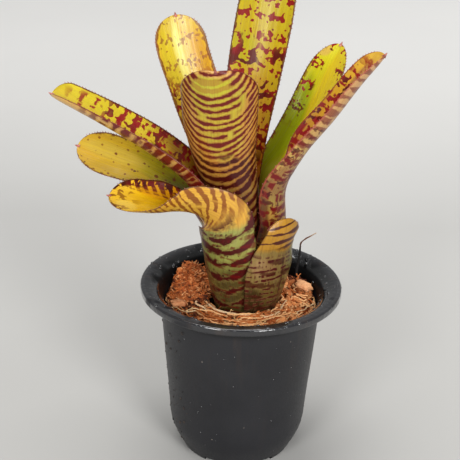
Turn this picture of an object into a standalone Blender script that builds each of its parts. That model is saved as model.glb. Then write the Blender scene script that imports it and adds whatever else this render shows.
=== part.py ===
"""Potted bromeliad: a banded vase-shaped rosette in a round nursery pot of coir mix.

Origin: centre of the pot's flat underside, +Z up. Lengths below are in millimetres.
"""
import math

import bmesh
import bpy
import numpy as np
from mathutils import Matrix

MM = 0.001
GAP = 0.3
OBJECT_NAME = "potted_bromeliad"

# Pot: an injection-moulded nursery pot with a trumpet rim.
POT_RIM_RADIUS = 52.5
POT_HEIGHT = 95.5
POT_BASE_RADIUS = 28.5
POT_WALL = 1.3
POT_LIP_DROP = 3.0
POT_LIP_WIDTH = 2.2
POT_THROAT_RADIUS = 41.9
POT_THROAT_HEIGHT = 85.5
POT_SEGMENTS = 44
DRAIN_SLOTS = 6
DRAIN_SLOT_TURN = 3.0
DRAIN_SLOT_WIDTH = 7.0
DRAIN_SLOT_HEIGHT = 2.6
DRAIN_SLOT_LENGTH = 12.0

# Coir mix that fills the pot, with a well where the plant's base sits.
MIX_TOP = 82.5
MIX_CROWN_RISE = 1.5
WELL_RADIUS = 19.4
WELL_FLOOR = 69.5
MOUNDS = (  # centre x, centre y, radius, height
    (-28.0, 21.0, 10.5, 10.0),
    (33.0, 17.0, 10.0, 5.0),
    (9.0, 35.0, 9.0, 3.0),
)

# Plant axis and the nest of leaf bases around it.
AXIS_X = 2.0
AXIS_Y = 3.0
BASE_Z = 75.5
FOOT_RADIUS = 4.4  # innermost sheath, where it leaves the stem
FOOT_PITCH = 1.35
TOP_RADIUS = 8.64  # innermost sheath, where its blade begins
TOP_PITCH = 1.92
SWELL_SHARES = ((0.0, 0.0), (0.5, 0.58), (1.0, 1.0))  # share of the height, share of the widening
SHEATH_TOP = 113.5
LEVEL_FADE = 12.0  # length over which a blade's sections leave the level
LEAF_THICKNESS = 0.9
LEAF_ROWS = 19
LEAF_COLUMNS = 9

# One entry per leaf. azimuth and level place the sheath: level 0 is the innermost.
# spans: half angle that the sheath wraps, at its foot and at its top.
# blade stations: x, y, z, half width, half angle of the channel, roll, offset of the channel.
LEAVES = {
    "leaf_tall": dict(
        azimuth=75, level=0, spans=(120, 100), tip=20,
        blade=(
            (1, 11.2, 129.5, 12, 80, 0, 0),
            (0, 12.5, 143.5, 12, 70, 0, 0),
            (1, 16, 168.5, 12.5, 50, 0, 0),
            (4, 24, 198.5, 14.5, 30, 0, 0),
            (8.5, 30, 228.5, 15, 25, 0, 0),
            (13, 36, 258.5, 13, 20, 0, 0),
        ),
    ),
    "leaf_back_left": dict(
        azimuth=110, level=1, spans=(120, 76), tip=15,
        blade=(
            (-4.5, 14, 129.5, 13, 60, 0, 0),
            (-8, 16, 143.5, 13, 52, 0, 0),
            (-19, 22, 168.5, 14, 42, 0, 0),
            (-28, 27, 193.5, 14, 30, 0, 0),
            (-34, 31, 211.5, 13.8, 22, 0, 0),
            (-37, 35, 226.5, 13.5, 18, 0, 0),
        ),
    ),
    "leaf_front": dict(
        azimuth=-95, level=2, spans=(110, 88), tip=16,
        blade=(
            (-2, -10.5, 129.5, 16.5, 82, 0, 0),
            (-6, -13, 143.5, 17.5, 76, 0, 0),
            (-11, -18, 162.5, 20, 70, 0, 0),
            (-13.5, -25, 183.5, 22, 64, 0, 0),
            (-14, -30, 202.5, 21.5, 56, 0, 0),
            (-15, -33, 216.5, 20, 45, 0, 0),
        ),
    ),
    "leaf_back_right": dict(
        azimuth=42, level=3, spans=(100, 72), tip=18,
        blade=(
            (13.5, 13.5, 131.5, 12.5, 50, 0, 8),
            (17, 16.5, 143.5, 12, 44, 0, 18),
            (23, 19, 158.5, 13.5, 44, 0, 4),
            (31, 23, 176.5, 13.5, 38, 0, 0),
            (39.5, 28, 196.5, 13, 28, 0, 0),
            (47, 32, 214.5, 11, 20, 0, 0),
        ),
    ),
    "leaf_left_upper": dict(
        azimuth=180, level=4, spans=(95, 82), tip=8,
        blade=(
            (-19, 2, 133.5, 20, 74, 0, 0),
            (-28, 1, 149.5, 18.5, 66, 0, 0),
            (-46, 0, 165.5, 18, 60, 0, 0),
            (-65, 0, 177.5, 17, 54, 0, 0),
            (-82, 0, 187, 15.5, 50, 0, 0),
            (-95, 0, 194, 14, 44, 0, 0),
        ),
    ),
    "leaf_left_lower": dict(
        azimuth=165, level=5, spans=(95, 68), tip=16,
        blade=(
            (-21, 8, 127.5, 17, 54, 0, -8),
            (-30, 11, 139.5, 14.5, 45, 8, 0),
            (-48, 12, 150, 13.5, 30, 24, 0),
            (-68, 12, 157.5, 13, 24, 32, 0),
            (-85, 12, 163.5, 12, 18, 34, 0),
        ),
    ),
    "leaf_right": dict(
        azimuth=-15, level=6, spans=(95, 70), tip=12,
        blade=(
            (21, -2, 131.5, 13, 58, 0, -20),
            (20.5, -3, 149.5, 13.5, 66, 0, -16),
            (28, -4, 166.5, 15, 74, -6, 0),
            (43, -5, 188.5, 14, 68, -12, 0),
            (56, -6, 208.5, 12.5, 58, -14, 0),
            (64, -7, 219.5, 10.5, 42, -14, 0),
        ),
    ),
    "leaf_front_left": dict(
        azimuth=-116, level=7, spans=(85, 60), flare=1.025, top=115.5, twist=-64,
        offsets=(-22, -18), tip=13,
        blade=(
            (-10.5, -19.5, 127.5, 18, 48, -64, -2),
            (-14, -20.5, 136, 16.5, 42, -60, 10),
            (-21.5, -19.5, 141, 16, 50, -40, 12),
            (-31, -17.5, 142, 17.5, 62, -16, 4),
            (-41, -17, 142.5, 17, 58, 4, 0),
            (-52, -17, 144.5, 15.5, 42, 12, 0),
            (-66, -17, 148.5, 13, 26, 18, 0),
        ),
    ),
    "leaf_stub": dict(
        azimuth=-54, level=8, spans=(48, 42), top=109.5, offsets=(10, 6), tip=6,
        blade=(
            (17.3, -17.5, 118, 14.5, 40, 0, 3),
            (19.5, -18.5, 126, 11.5, 34, 0, 0),
            (21.5, -18, 133, 10.5, 28, 0, 0),
            (21.5, -16.5, 139, 9, 24, 0, 0),
        ),
    ),
}

# Stem: the disc that the leaf bases stand on, and the short core inside them.
STEM_DISC_RADIUS = 15.4
STEM_CORE_RADIUS = 3.4
STEM_CORE_TOP = 101.5

# Roots that cross the surface: azimuths in degrees, distances from the plant axis.
ROOT_POINTS = 15
ROOTS = {  # name: start azimuth, end azimuth, start distance, end distance, radius, wave
    "root_front": (-150, -74, 21.2, 22.5, 0.6, 0.6),
    "root_front_left": (-166, -136, 25.5, 27.0, 0.5, 1.2),
    "root_front_right": (-66, -8, 24.5, 22.5, 0.5, 1.0),
}
CHIPS = {  # name: x, y, length, width, height, turn, tilt
    "husk_chip_left": (-32.5, -8.0, 9.0, 5.0, 3.0, 25.0, 8.0),
    "husk_chip_front": (-13.0, -32.0, 8.0, 4.5, 2.5, -12.0, 5.0),
    "husk_chip_front_right": (14.0, -31.5, 9.0, 5.0, 2.8, 18.0, -6.0),
    "husk_chip_right": (33.5, 8.0, 9.5, 6.0, 3.2, -40.0, 8.0),
    "husk_chip_back": (-9.0, 33.0, 8.0, 5.0, 3.0, -8.0, 5.0),
}
CHIP_BEVEL = 0.8
TWIG_FOOT = (30.0, 22.0)
TWIG_COURSE = ((0.0, 0.0, 0.0), (2.0, 8.0, 10.5), (3.4, 15.0, 14.0), (11.0, 16.0, 19.0))  # from its foot
TWIG_RADIUS = 0.7
TWIG_POINTS = 9

COLOURS = {
    "pot": (0.02, 0.02, 0.022, 1.0),
    "mix": (0.36, 0.15, 0.06, 1.0),
    "leaf": (0.52, 0.46, 0.10, 1.0),
    "stem": (0.42, 0.34, 0.16, 1.0),
    "root": (0.70, 0.55, 0.34, 1.0),
    "husk": (0.45, 0.20, 0.08, 1.0),
}
ROUGHNESS = {"pot": 0.45, "mix": 0.95, "leaf": 0.35, "stem": 0.7, "root": 0.8, "husk": 0.9}


def clear_scene():
    for item in list(bpy.data.objects):
        bpy.data.objects.remove(item, do_unlink=True)


def new_collection(name):
    collection = bpy.data.collections.new(name)
    bpy.context.scene.collection.children.link(collection)
    return collection


def new_material(name):
    material = bpy.data.materials.new(name)
    material.use_nodes = True
    shader = material.node_tree.nodes["Principled BSDF"]
    shader.inputs["Base Color"].default_value = COLOURS[name]
    shader.inputs["Roughness"].default_value = ROUGHNESS[name]
    shader.inputs["Metallic"].default_value = 0.0
    return material


def add_object(name, data, collection, material=None):
    item = bpy.data.objects.new(name, data)
    collection.objects.link(item)
    if material:
        data.materials.append(material)
    return item


def as_mesh(item):
    """Replaces an object by its evaluated mesh, with doubles welded."""
    bpy.context.view_layer.update()
    evaluated = item.evaluated_get(bpy.context.evaluated_depsgraph_get())
    mesh = bpy.data.meshes.new_from_object(evaluated)
    work = bmesh.new()
    work.from_mesh(mesh)
    bmesh.ops.remove_doubles(work, verts=work.verts, dist=0.01 * MM)
    work.to_mesh(mesh)
    work.free()
    name = item.name
    place = item.matrix_world.copy()
    homes = list(item.users_collection)
    bpy.data.objects.remove(item, do_unlink=True)
    solid = bpy.data.objects.new(name, mesh)
    solid.matrix_world = place
    for home in homes:
        home.objects.link(solid)
    return solid


def arc(centre_r, centre_z, radius, start, end, steps):
    """Points on an arc in the radius-height plane, angles in degrees."""
    points = []
    for step in range(steps + 1):
        angle = math.radians(start + (end - start) * step / steps)
        points.append((centre_r + radius * math.cos(angle), centre_z + radius * math.sin(angle)))
    return points


def turned(name, profile, collection, material):
    """Turns a radius-height profile, given top to bottom down its outer side, about +Z."""
    mesh = bpy.data.meshes.new(name)
    vertices = [(r * MM, 0.0, z * MM) for r, z in profile]
    mesh.from_pydata(vertices, [(i, i + 1) for i in range(len(vertices) - 1)], [])
    item = add_object(name, mesh, collection, material)
    screw = item.modifiers.new("Turn", "SCREW")
    screw.steps = POT_SEGMENTS
    screw.render_steps = POT_SEGMENTS
    screw.use_merge_vertices = True
    screw.merge_threshold = 0.01 * MM
    screw.use_smooth_shade = True
    return item


# ---- pot ----

def pot_outer_radius(z):
    """Radius of the straight body, below the flare."""
    heights = (1.2, 4.3, 9.2, 15.0, 23.5, 38.5, 58.5, POT_THROAT_HEIGHT)
    radii = (30.0, 31.6, 34.0, 36.0, 36.9, 38.0, 39.8, POT_THROAT_RADIUS)
    return float(np.interp(z, heights, radii))


def pot_profile():
    """Closed outline: inner floor, inner wall, rim, lip, outer wall, underside."""
    wall = POT_WALL
    body = (15.0, 23.5, 38.5, 58.5, POT_THROAT_HEIGHT)
    flare_width = POT_RIM_RADIUS - POT_LIP_WIDTH - POT_THROAT_RADIUS
    flare_rise = POT_HEIGHT - wall - POT_THROAT_HEIGHT
    inner = [(0.0, wall), (POT_BASE_RADIUS - wall, wall)]
    inner += [(pot_outer_radius(z) - wall, z) for z in body]
    outer_flare = []
    inner_flare = []
    for step in range(1, 5):
        turn = math.radians(90 * step / 4)
        r = POT_THROAT_RADIUS + flare_width * (1 - math.cos(turn))
        z = POT_THROAT_HEIGHT + flare_rise * math.sin(turn)
        outer_flare.append((r, z))
        inner_flare.append((r - wall * math.cos(turn), z + wall * math.sin(turn)))
    lip_radius = POT_LIP_WIDTH / 2
    lip = arc(POT_RIM_RADIUS - lip_radius, POT_HEIGHT - lip_radius, lip_radius, 90, 0, 3)
    lip += arc(POT_RIM_RADIUS - lip_radius, POT_HEIGHT - POT_LIP_DROP, lip_radius, 0, -90, 3)
    lip.append((POT_RIM_RADIUS - POT_LIP_WIDTH, POT_HEIGHT - POT_LIP_DROP))
    outer = outer_flare[::-1] + [(pot_outer_radius(z), z) for z in body[::-1]]
    outer += [(pot_outer_radius(z), z) for z in (9.2, 4.3, 1.2)] + [(POT_BASE_RADIUS, 0.0), (0.0, 0.0)]
    return inner + inner_flare + lip + outer


def build_pot(collection, cutters, material):
    pot = turned("nursery_pot", pot_profile(), collection, material)
    bpy.ops.mesh.primitive_cube_add(size=1.0)
    block = bpy.context.object
    block.name = "drain_slot_cutters"
    mesh = block.data
    work = bmesh.new()
    for index in range(DRAIN_SLOTS):
        turn = Matrix.Rotation(math.radians(DRAIN_SLOT_TURN) + math.tau * index / DRAIN_SLOTS, 4, "Z")
        place = Matrix.Translation(((POT_BASE_RADIUS - 1.0) * MM, 0.0, 0.0))
        sides = (DRAIN_SLOT_LENGTH * MM, DRAIN_SLOT_WIDTH * MM, 2 * DRAIN_SLOT_HEIGHT * MM, 1.0)
        size = Matrix.Diagonal(sides)
        bmesh.ops.create_cube(work, size=1.0, matrix=turn @ place @ size)
    work.to_mesh(mesh)
    work.free()
    for home in list(block.users_collection):
        home.objects.unlink(block)
    cutters.objects.link(block)
    block.hide_render = True
    block.display_type = "WIRE"
    cut = pot.modifiers.new("Drain slots", "BOOLEAN")
    cut.operation = "DIFFERENCE"
    cut.solver = "EXACT"
    cut.object = block
    return pot


# ---- coir mix ----

def mix_height(x, y):
    """Height of the mix surface at a point, in millimetres."""
    distance = math.hypot(x, y)
    height = MIX_TOP + MIX_CROWN_RISE * max(0.0, 1 - (distance / POT_THROAT_RADIUS) ** 2)
    for centre_x, centre_y, radius, rise in MOUNDS:
        reach = math.hypot(x - centre_x, y - centre_y) / radius
        height += rise * math.exp(-reach * reach)
    return height


def build_mix(collection, material):
    def inner_wall(z):
        return pot_outer_radius(z) - POT_WALL - GAP

    top_radius = inner_wall(MIX_TOP) - 0.5
    ring_count = 5
    first_ring = WELL_RADIUS + math.hypot(AXIS_X, AXIS_Y) + 1.0
    well = [(0.0, WELL_FLOOR), (WELL_RADIUS, WELL_FLOOR), (WELL_RADIUS, MIX_TOP)]
    surface = []
    for step in range(ring_count):
        surface.append((first_ring + (top_radius - first_ring) * step / (ring_count - 1), MIX_TOP))
    wall = [(inner_wall(z), z) for z in (75.5, 58.5, 38.5, 23.5, 15.0)]
    foot = [(POT_BASE_RADIUS - POT_WALL - 1.0, POT_WALL + GAP), (0.0, POT_WALL + GAP)]
    mix = as_mesh(turned("coir_mix", well + surface + wall + foot, collection, material))
    # The well follows the plant, which stands a little off the pot's centre.
    slack = 0.01
    for vertex in mix.data.vertices:
        in_well = math.hypot(vertex.co.x, vertex.co.y) < (WELL_RADIUS + slack) * MM
        if in_well and vertex.co.z > (WELL_FLOOR - slack) * MM:
            vertex.co.x += AXIS_X * MM
            vertex.co.y += AXIS_Y * MM
        if vertex.co.z > (MIX_TOP - slack) * MM:
            vertex.co.z = mix_height(vertex.co.x / MM, vertex.co.y / MM) * MM
    return mix


def build_stem(collection, material):
    disc_top = BASE_Z - LEAF_THICKNESS / 2 - GAP
    disc_low = WELL_FLOOR + GAP
    core = STEM_CORE_RADIUS
    profile = [
        (0.0, STEM_CORE_TOP), (core * 0.45, STEM_CORE_TOP - 2), (core * 0.8, STEM_CORE_TOP - 12),
        (core, BASE_Z + 4), (core, disc_top), (STEM_DISC_RADIUS - 1, disc_top),
        (STEM_DISC_RADIUS, disc_top - 1), (STEM_DISC_RADIUS - 2, disc_low), (0.0, disc_low),
    ]
    stem = as_mesh(turned("stem", profile, collection, material))
    stem.location = (AXIS_X * MM, AXIS_Y * MM, 0.0)
    return stem


# ---- leaves ----

def smooth_curve(knots, values, places):
    """Cubic curve through values at knots, read at places."""
    gaps = np.diff(knots)
    slopes = np.diff(values, axis=0) / gaps[:, None]
    share = (gaps[:-1] / (gaps[:-1] + gaps[1:]))[:, None]
    tangents = np.vstack([slopes[:1], slopes[:-1] * (1 - share) + slopes[1:] * share, slopes[-1:]])
    index = np.clip(np.searchsorted(knots, places, side="right") - 1, 0, len(knots) - 2)
    step = gaps[index][:, None]
    u = (places - knots[index])[:, None] / step
    start = (2 * u**3 - 3 * u**2 + 1) * values[index] + (u**3 - 2 * u**2 + u) * step * tangents[index]
    end = (3 * u**2 - 2 * u**3) * values[index + 1] + (u**3 - u**2) * step * tangents[index + 1]
    return start + end


def leaf_stations(leaf):
    """Sheath stations around the plant axis, followed by the blade's own."""
    foot_radius = FOOT_RADIUS + FOOT_PITCH * leaf["level"]
    top_radius = (TOP_RADIUS + TOP_PITCH * leaf["level"]) * leaf.get("flare", 1.0)
    top = leaf.get("top", SHEATH_TOP)
    azimuth = math.radians(leaf["azimuth"])
    offsets = leaf.get("offsets", (0, 0))
    stations = []
    for share, swell in SWELL_SHARES:
        radius = foot_radius + (top_radius - foot_radius) * swell
        span = leaf["spans"][0] + (leaf["spans"][1] - leaf["spans"][0]) * share
        offset = offsets[0] + (offsets[1] - offsets[0]) * share
        x = AXIS_X + radius * math.cos(azimuth)
        y = AXIS_Y + radius * math.sin(azimuth)
        z = BASE_Z + (top - BASE_Z) * share
        stations.append((x, y, z, radius * math.radians(span), span, leaf.get("twist", 0), offset))
    return np.array(stations + [list(row) for row in leaf["blade"]], float)


def leaf_grid(leaf):
    """Rows of points across the leaf, from the foot of its sheath to its tip."""
    stations = leaf_stations(leaf)
    steps = np.linalg.norm(np.diff(stations[:, :3], axis=0), axis=1)
    knots = np.concatenate([[0.0], np.cumsum(steps)])
    length = knots[-1]
    rows = np.linspace(0, 1, LEAF_ROWS)
    if leaf["tip"]:
        rows = 1 - (1 - rows) ** 1.25
    places = rows * length
    values = smooth_curve(knots, stations, places)
    nudge = 0.1
    ahead = smooth_curve(knots, stations[:, :3], np.minimum(places + nudge, length))
    behind = smooth_curve(knots, stations[:, :3], np.maximum(places - nudge, 0))
    along = (ahead - behind) / np.linalg.norm(ahead - behind, axis=1)[:, None]
    # Sections of the sheath lie level, so that the sheaths nest. Those of the blade stand square to it.
    sheath_end = knots[len(SWELL_SHARES) - 1]
    upright = np.clip(1 - (places - sheath_end) / LEVEL_FADE, 0, 1)[:, None]
    along = along * (1 - upright) + np.array([[0.0, 0.0, 1.0]]) * upright
    along /= np.linalg.norm(along, axis=1)[:, None]
    # The upper face looks back at the plant axis; a twisted leaf turns about its own midrib.
    facing = math.radians(180 if "twist" in leaf else leaf["azimuth"])
    rise = along[:, 2:3]
    level = np.array([[-math.cos(facing), -math.sin(facing), 0.0]])
    upper = level * rise + np.array([[0.0, 0.0, 1.0]]) * np.sqrt(np.maximum(1 - rise**2, 0))
    upper -= along * np.sum(upper * along, axis=1)[:, None]
    upper /= np.linalg.norm(upper, axis=1)[:, None]
    side = np.cross(upper, along)
    roll = np.radians(values[:, 5:6])
    face = upper * np.cos(roll) + side * np.sin(roll)
    across = side * np.cos(roll) - upper * np.sin(roll)
    half_width = values[:, 3]
    if leaf["tip"]:
        into_tip = np.clip((places - (length - leaf["tip"])) / leaf["tip"], 0, 1)
        half_width = half_width * np.sqrt(np.maximum(1 - into_tip**2.2, 0.004))
    span = np.radians(values[:, 4])
    angles = span[:, None] * np.linspace(-1, 1, LEAF_COLUMNS)[None] + np.radians(values[:, 6])[:, None]
    radius = (half_width / span)[:, None]
    sideways = across[:, None] * (radius * np.sin(angles))[..., None]
    inward = face[:, None] * (radius * (1 - np.cos(angles)))[..., None]
    return values[:, None, :3] + sideways + inward


def build_leaf(name, leaf, collection, material):
    grid = leaf_grid(leaf)
    rows, columns = grid.shape[:2]
    vertices = (grid.reshape(-1, 3) * MM).tolist()
    faces = []
    for row in range(rows - 1):
        for column in range(columns - 1):
            corner = row * columns + column
            faces.append((corner, corner + 1, corner + columns + 1, corner + columns))
    mesh = bpy.data.meshes.new(name)
    mesh.from_pydata(vertices, [], faces)
    mesh.shade_smooth()
    item = add_object(name, mesh, collection, material)
    wall = item.modifiers.new("Thickness", "SOLIDIFY")
    wall.thickness = LEAF_THICKNESS * MM
    wall.offset = 0.0
    return item


# ---- small pieces on the mix ----

def tube(name, points, radius, collection, material, taper=1.0):
    curve = bpy.data.curves.new(name, "CURVE")
    curve.dimensions = "3D"
    curve.bevel_depth = radius * MM
    curve.bevel_resolution = 2
    curve.use_fill_caps = True
    spline = curve.splines.new("POLY")
    spline.points.add(len(points) - 1)
    for index, (point, place) in enumerate(zip(spline.points, points)):
        point.co = (place[0] * MM, place[1] * MM, place[2] * MM, 1.0)
        point.radius = 1.0 + (taper - 1.0) * index / (len(points) - 1)
    curve.materials.append(material)
    return add_object(name, curve, collection)


def build_root(name, values, collection, material):
    start, end, near, far, radius, wave = values
    points = []
    for index in range(ROOT_POINTS):
        share = index / (ROOT_POINTS - 1)
        azimuth = math.radians(start + (end - start) * share)
        distance = near + (far - near) * share + wave * math.sin(share * math.tau)
        x = AXIS_X + distance * math.cos(azimuth)
        y = AXIS_Y + distance * math.sin(azimuth)
        lift = radius + 2 * GAP + 0.5 * math.sin(share * math.pi)
        points.append((x, y, mix_height(x, y) + lift))
    return tube(name, points, radius, collection, material, taper=0.7)


def build_chip(name, values, collection, material):
    x, y, length, width, height, turn, tilt = values
    bpy.ops.mesh.primitive_cube_add(size=1.0)
    chip = bpy.context.object
    chip.name = name
    chip.data.transform(Matrix.Diagonal((length * MM, width * MM, height * MM, 1.0)))
    for home in list(chip.users_collection):
        home.objects.unlink(chip)
    collection.objects.link(chip)
    chip.data.materials.append(material)
    # It rests on the highest mix under its corners.
    reach = math.hypot(length, width) / 2
    corners = [(x, y)]
    for index in range(8):
        angle = math.tau * index / 8
        corners.append((x + reach * math.cos(angle), y + reach * math.sin(angle)))
    support = max(mix_height(*corner) for corner in corners)
    drop = math.sin(math.radians(abs(tilt))) * length / 2
    chip.location = (x * MM, y * MM, (support + drop + height / 2 + GAP) * MM)
    chip.rotation_euler = (0.0, math.radians(tilt), math.radians(turn))
    bevel = chip.modifiers.new("Worn edges", "BEVEL")
    bevel.width = CHIP_BEVEL * MM
    bevel.segments = 1
    return chip


def build_twig(collection, material):
    foot_x, foot_y = TWIG_FOOT
    foot = np.array((foot_x, foot_y, mix_height(foot_x, foot_y) + 4 * GAP + TWIG_RADIUS))
    course = foot + np.array(TWIG_COURSE)
    knots = np.linspace(0, 1, len(course))
    points = smooth_curve(knots, course, np.linspace(0, 1, TWIG_POINTS)).tolist()
    return tube("husk_twig", points, TWIG_RADIUS, collection, material, taper=0.35)


def build():
    clear_scene()
    parts = new_collection(OBJECT_NAME)
    cutters = new_collection("cutters")
    materials = {name: new_material(name) for name in COLOURS}
    build_pot(parts, cutters, materials["pot"])
    build_mix(parts, materials["mix"])
    build_stem(parts, materials["stem"])
    for name, leaf in LEAVES.items():
        build_leaf(name, leaf, parts, materials["leaf"])
    for name, values in ROOTS.items():
        build_root(name, values, parts, materials["root"])
    for name, values in CHIPS.items():
        build_chip(name, values, parts, materials["husk"])
    build_twig(parts, materials["husk"])


build()
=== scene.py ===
import math

import bmesh
import bpy
import numpy as np
from mathutils import Matrix, Vector, noise


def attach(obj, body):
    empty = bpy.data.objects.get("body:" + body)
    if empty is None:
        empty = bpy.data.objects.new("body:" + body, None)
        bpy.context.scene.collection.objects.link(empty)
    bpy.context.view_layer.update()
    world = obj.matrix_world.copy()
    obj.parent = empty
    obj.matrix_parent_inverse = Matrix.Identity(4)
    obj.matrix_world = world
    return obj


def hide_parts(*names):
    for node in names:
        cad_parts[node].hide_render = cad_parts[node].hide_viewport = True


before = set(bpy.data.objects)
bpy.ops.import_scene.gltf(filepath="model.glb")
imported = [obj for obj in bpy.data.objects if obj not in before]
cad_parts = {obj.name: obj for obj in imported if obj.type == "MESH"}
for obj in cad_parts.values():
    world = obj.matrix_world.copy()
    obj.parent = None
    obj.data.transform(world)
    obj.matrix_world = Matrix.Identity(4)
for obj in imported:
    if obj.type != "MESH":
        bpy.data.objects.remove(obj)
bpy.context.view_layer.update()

mm = 0.001
print("frame loaded, nodes:", len(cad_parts))


# small helpers for building node trees

def findSocket(sockets, name):
    return next(s for s in sockets if s.name == name and s.enabled)


def outlet(item, name=None):
    if isinstance(item, bpy.types.Node):
        if name:
            return findSocket(item.outputs, name)
        return next(s for s in item.outputs if s.enabled)
    return item


def plug(tree, socket, value):
    if isinstance(value, (bpy.types.Node, bpy.types.NodeSocket)):
        tree.links.new(outlet(value), socket)
    elif value is not None:
        socket.default_value = value


def put(tree, kind, plugs=None, **settings):
    made = tree.nodes.new(kind)
    for key, value in settings.items():
        setattr(made, key, value)
    for name, value in (plugs or {}).items():
        plug(tree, findSocket(made.inputs, name), value)
    return made


def treeOf(*values):
    return next(v.id_data for v in values if isinstance(v, (bpy.types.Node, bpy.types.NodeSocket)))


def calc(operation, *values, clamp=False):
    made = treeOf(*values).nodes.new("ShaderNodeMath")
    made.operation = operation
    made.use_clamp = clamp
    for index, value in enumerate(values):
        plug(made.id_data, made.inputs[index], value)
    return made.outputs[0]


def vectorCalc(operation, *values):
    made = treeOf(*values).nodes.new("ShaderNodeVectorMath")
    made.operation = operation
    for index, value in enumerate(values):
        target = made.inputs["Scale"] if operation == "SCALE" and index == 1 else made.inputs[index]
        plug(made.id_data, target, value)
    return next(s for s in made.outputs if s.enabled)


def meet(operation, first, second):
    # two numbers make plain maths, a vector with a number is scaled
    pair = [outlet(first), outlet(second)]
    plain = [isinstance(v, (int, float)) or getattr(v, "type", "") in ("VALUE", "INT") for v in pair]
    if all(plain):
        return calc(operation, *pair)
    if operation == "MULTIPLY" and any(plain):
        return vectorCalc("SCALE", *pair)
    return vectorCalc(operation, *pair)


# nodes and sockets take + - * / directly, and each sign adds a math node
for kind in (bpy.types.Node, bpy.types.NodeSocket):
    for sign, step in (("add", "ADD"), ("sub", "SUBTRACT"), ("mul", "MULTIPLY"), ("truediv", "DIVIDE")):
        setattr(kind, f"__{sign}__", lambda a, b, step=step: meet(step, a, b))
        setattr(kind, f"__r{sign}__", lambda a, b, step=step: meet(step, b, a))


def combine(x=0.0, y=0.0, z=0.0):
    return put(treeOf(x, y, z), "ShaderNodeCombineXYZ", {"X": x, "Y": y, "Z": z}).outputs[0]


def split(vector):
    return put(treeOf(vector), "ShaderNodeSeparateXYZ", {"Vector": vector}).outputs[:3]


def ramp(value, low, high, toLow=0.0, toHigh=1.0, smooth=True):
    made = treeOf(value).nodes.new("ShaderNodeMapRange")
    made.interpolation_type = "SMOOTHSTEP" if smooth else "LINEAR"
    for name, item in (("Value", value), ("From Min", low), ("From Max", high),
                       ("To Min", toLow), ("To Max", toHigh)):
        plug(made.id_data, findSocket(made.inputs, name), item)
    return findSocket(made.outputs, "Result")


def grain(vector, detail=2.0, rough=0.5, scale=1.0):
    made = put(treeOf(vector), "ShaderNodeTexNoise", {
        "Vector": vector, "Scale": scale, "Detail": detail, "Roughness": rough})
    return made.outputs[0]


def newGroup(name, treeType, inputs, outputs):
    tree = bpy.data.node_groups.new(name, treeType)
    for label, kind, value in inputs:
        socket = tree.interface.new_socket(name=label, in_out="INPUT", socket_type="NodeSocket" + kind)
        if value is not None:
            socket.default_value = value
    for label, kind in outputs:
        tree.interface.new_socket(name=label, in_out="OUTPUT", socket_type="NodeSocket" + kind)
    return tree, tree.nodes.new("NodeGroupInput").outputs, tree.nodes.new("NodeGroupOutput").inputs


def runTree(item, tree, values):
    # sets the named inputs, then turns the result into a plain mesh
    changer = item.modifiers.new(tree.name, "NODES")
    changer.node_group = tree
    for socket in tree.interface.items_tree:
        if socket.item_type == "SOCKET" and socket.in_out == "INPUT" and socket.name in values:
            changer[socket.identifier] = values[socket.name]
    bpy.context.view_layer.update()
    evaluated = item.evaluated_get(bpy.context.evaluated_depsgraph_get())
    mesh = bpy.data.meshes.new_from_object(evaluated)
    item.modifiers.remove(changer)
    for index in reversed(range(len(mesh.materials))):
        if mesh.materials[index] is None:
            mesh.materials.pop(index=index)
    old = item.data
    item.data = mesh
    if old.users == 0:
        bpy.data.meshes.remove(old)
    return item


def newObject(name, mesh):
    item = bpy.data.objects.new(name, mesh)
    bpy.context.scene.collection.objects.link(item)
    return item


def placePiece(item, slotName, *nodes):
    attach(item, "root")
    if nodes:
        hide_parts(*nodes)
    return item


# shader groups shared by the materials

def makeBandsGroup():
    tree, given, wanted = newGroup("crossBands", "ShaderNodeTree", [
        ("Blade", "Vector", None), ("Spacing", "Float", 4.0), ("Fill", "Float", 0.5),
        ("Wobble", "Float", 2.0), ("Ragged", "Float", 0.5), ("Break", "Float", 0.35),
        ("Bow", "Float", 0.0), ("Tilt", "Float", 0.0), ("Gap Width", "Float", 6.0), ("Seed", "Float", 0.0),
    ], [("Mask", "Float")])
    part = split(given["Blade"])
    across, along = part[0], part[1]
    seed = given["Seed"]
    slow = grain(combine(across * 0.07, along * 0.05, seed), 2.0)
    shift = (slow - 0.5) * given["Wobble"]
    bow = across * across * given["Bow"]
    lean = across * given["Tilt"]
    height = along + shift + (bow + lean)
    phase = height / given["Spacing"]
    middle = calc("ABSOLUTE", calc("FRACT", phase) - 0.5) * 2.0
    row = calc("FLOOR", phase)
    fine = grain(combine(across * 0.35, along * 0.8, seed + 5.0), 3.0, 0.6)
    thick = grain(combine(across * 0.12, row * 3.7, seed + 9.0), 1.0)
    rag = (fine - 0.5) * given["Ragged"]
    swell = (thick - 0.5) * 1.3
    limit = given["Fill"] + rag + swell
    body = ramp(limit - middle, -0.12, 0.12)
    gaps = grain(combine(across / given["Gap Width"], row * 7.3, seed + 21.0), 1.0)
    kept = ramp(gaps - given["Break"], -0.03, 0.06)
    mask = body * kept
    plug(tree, wanted["Mask"], mask)
    return tree


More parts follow.
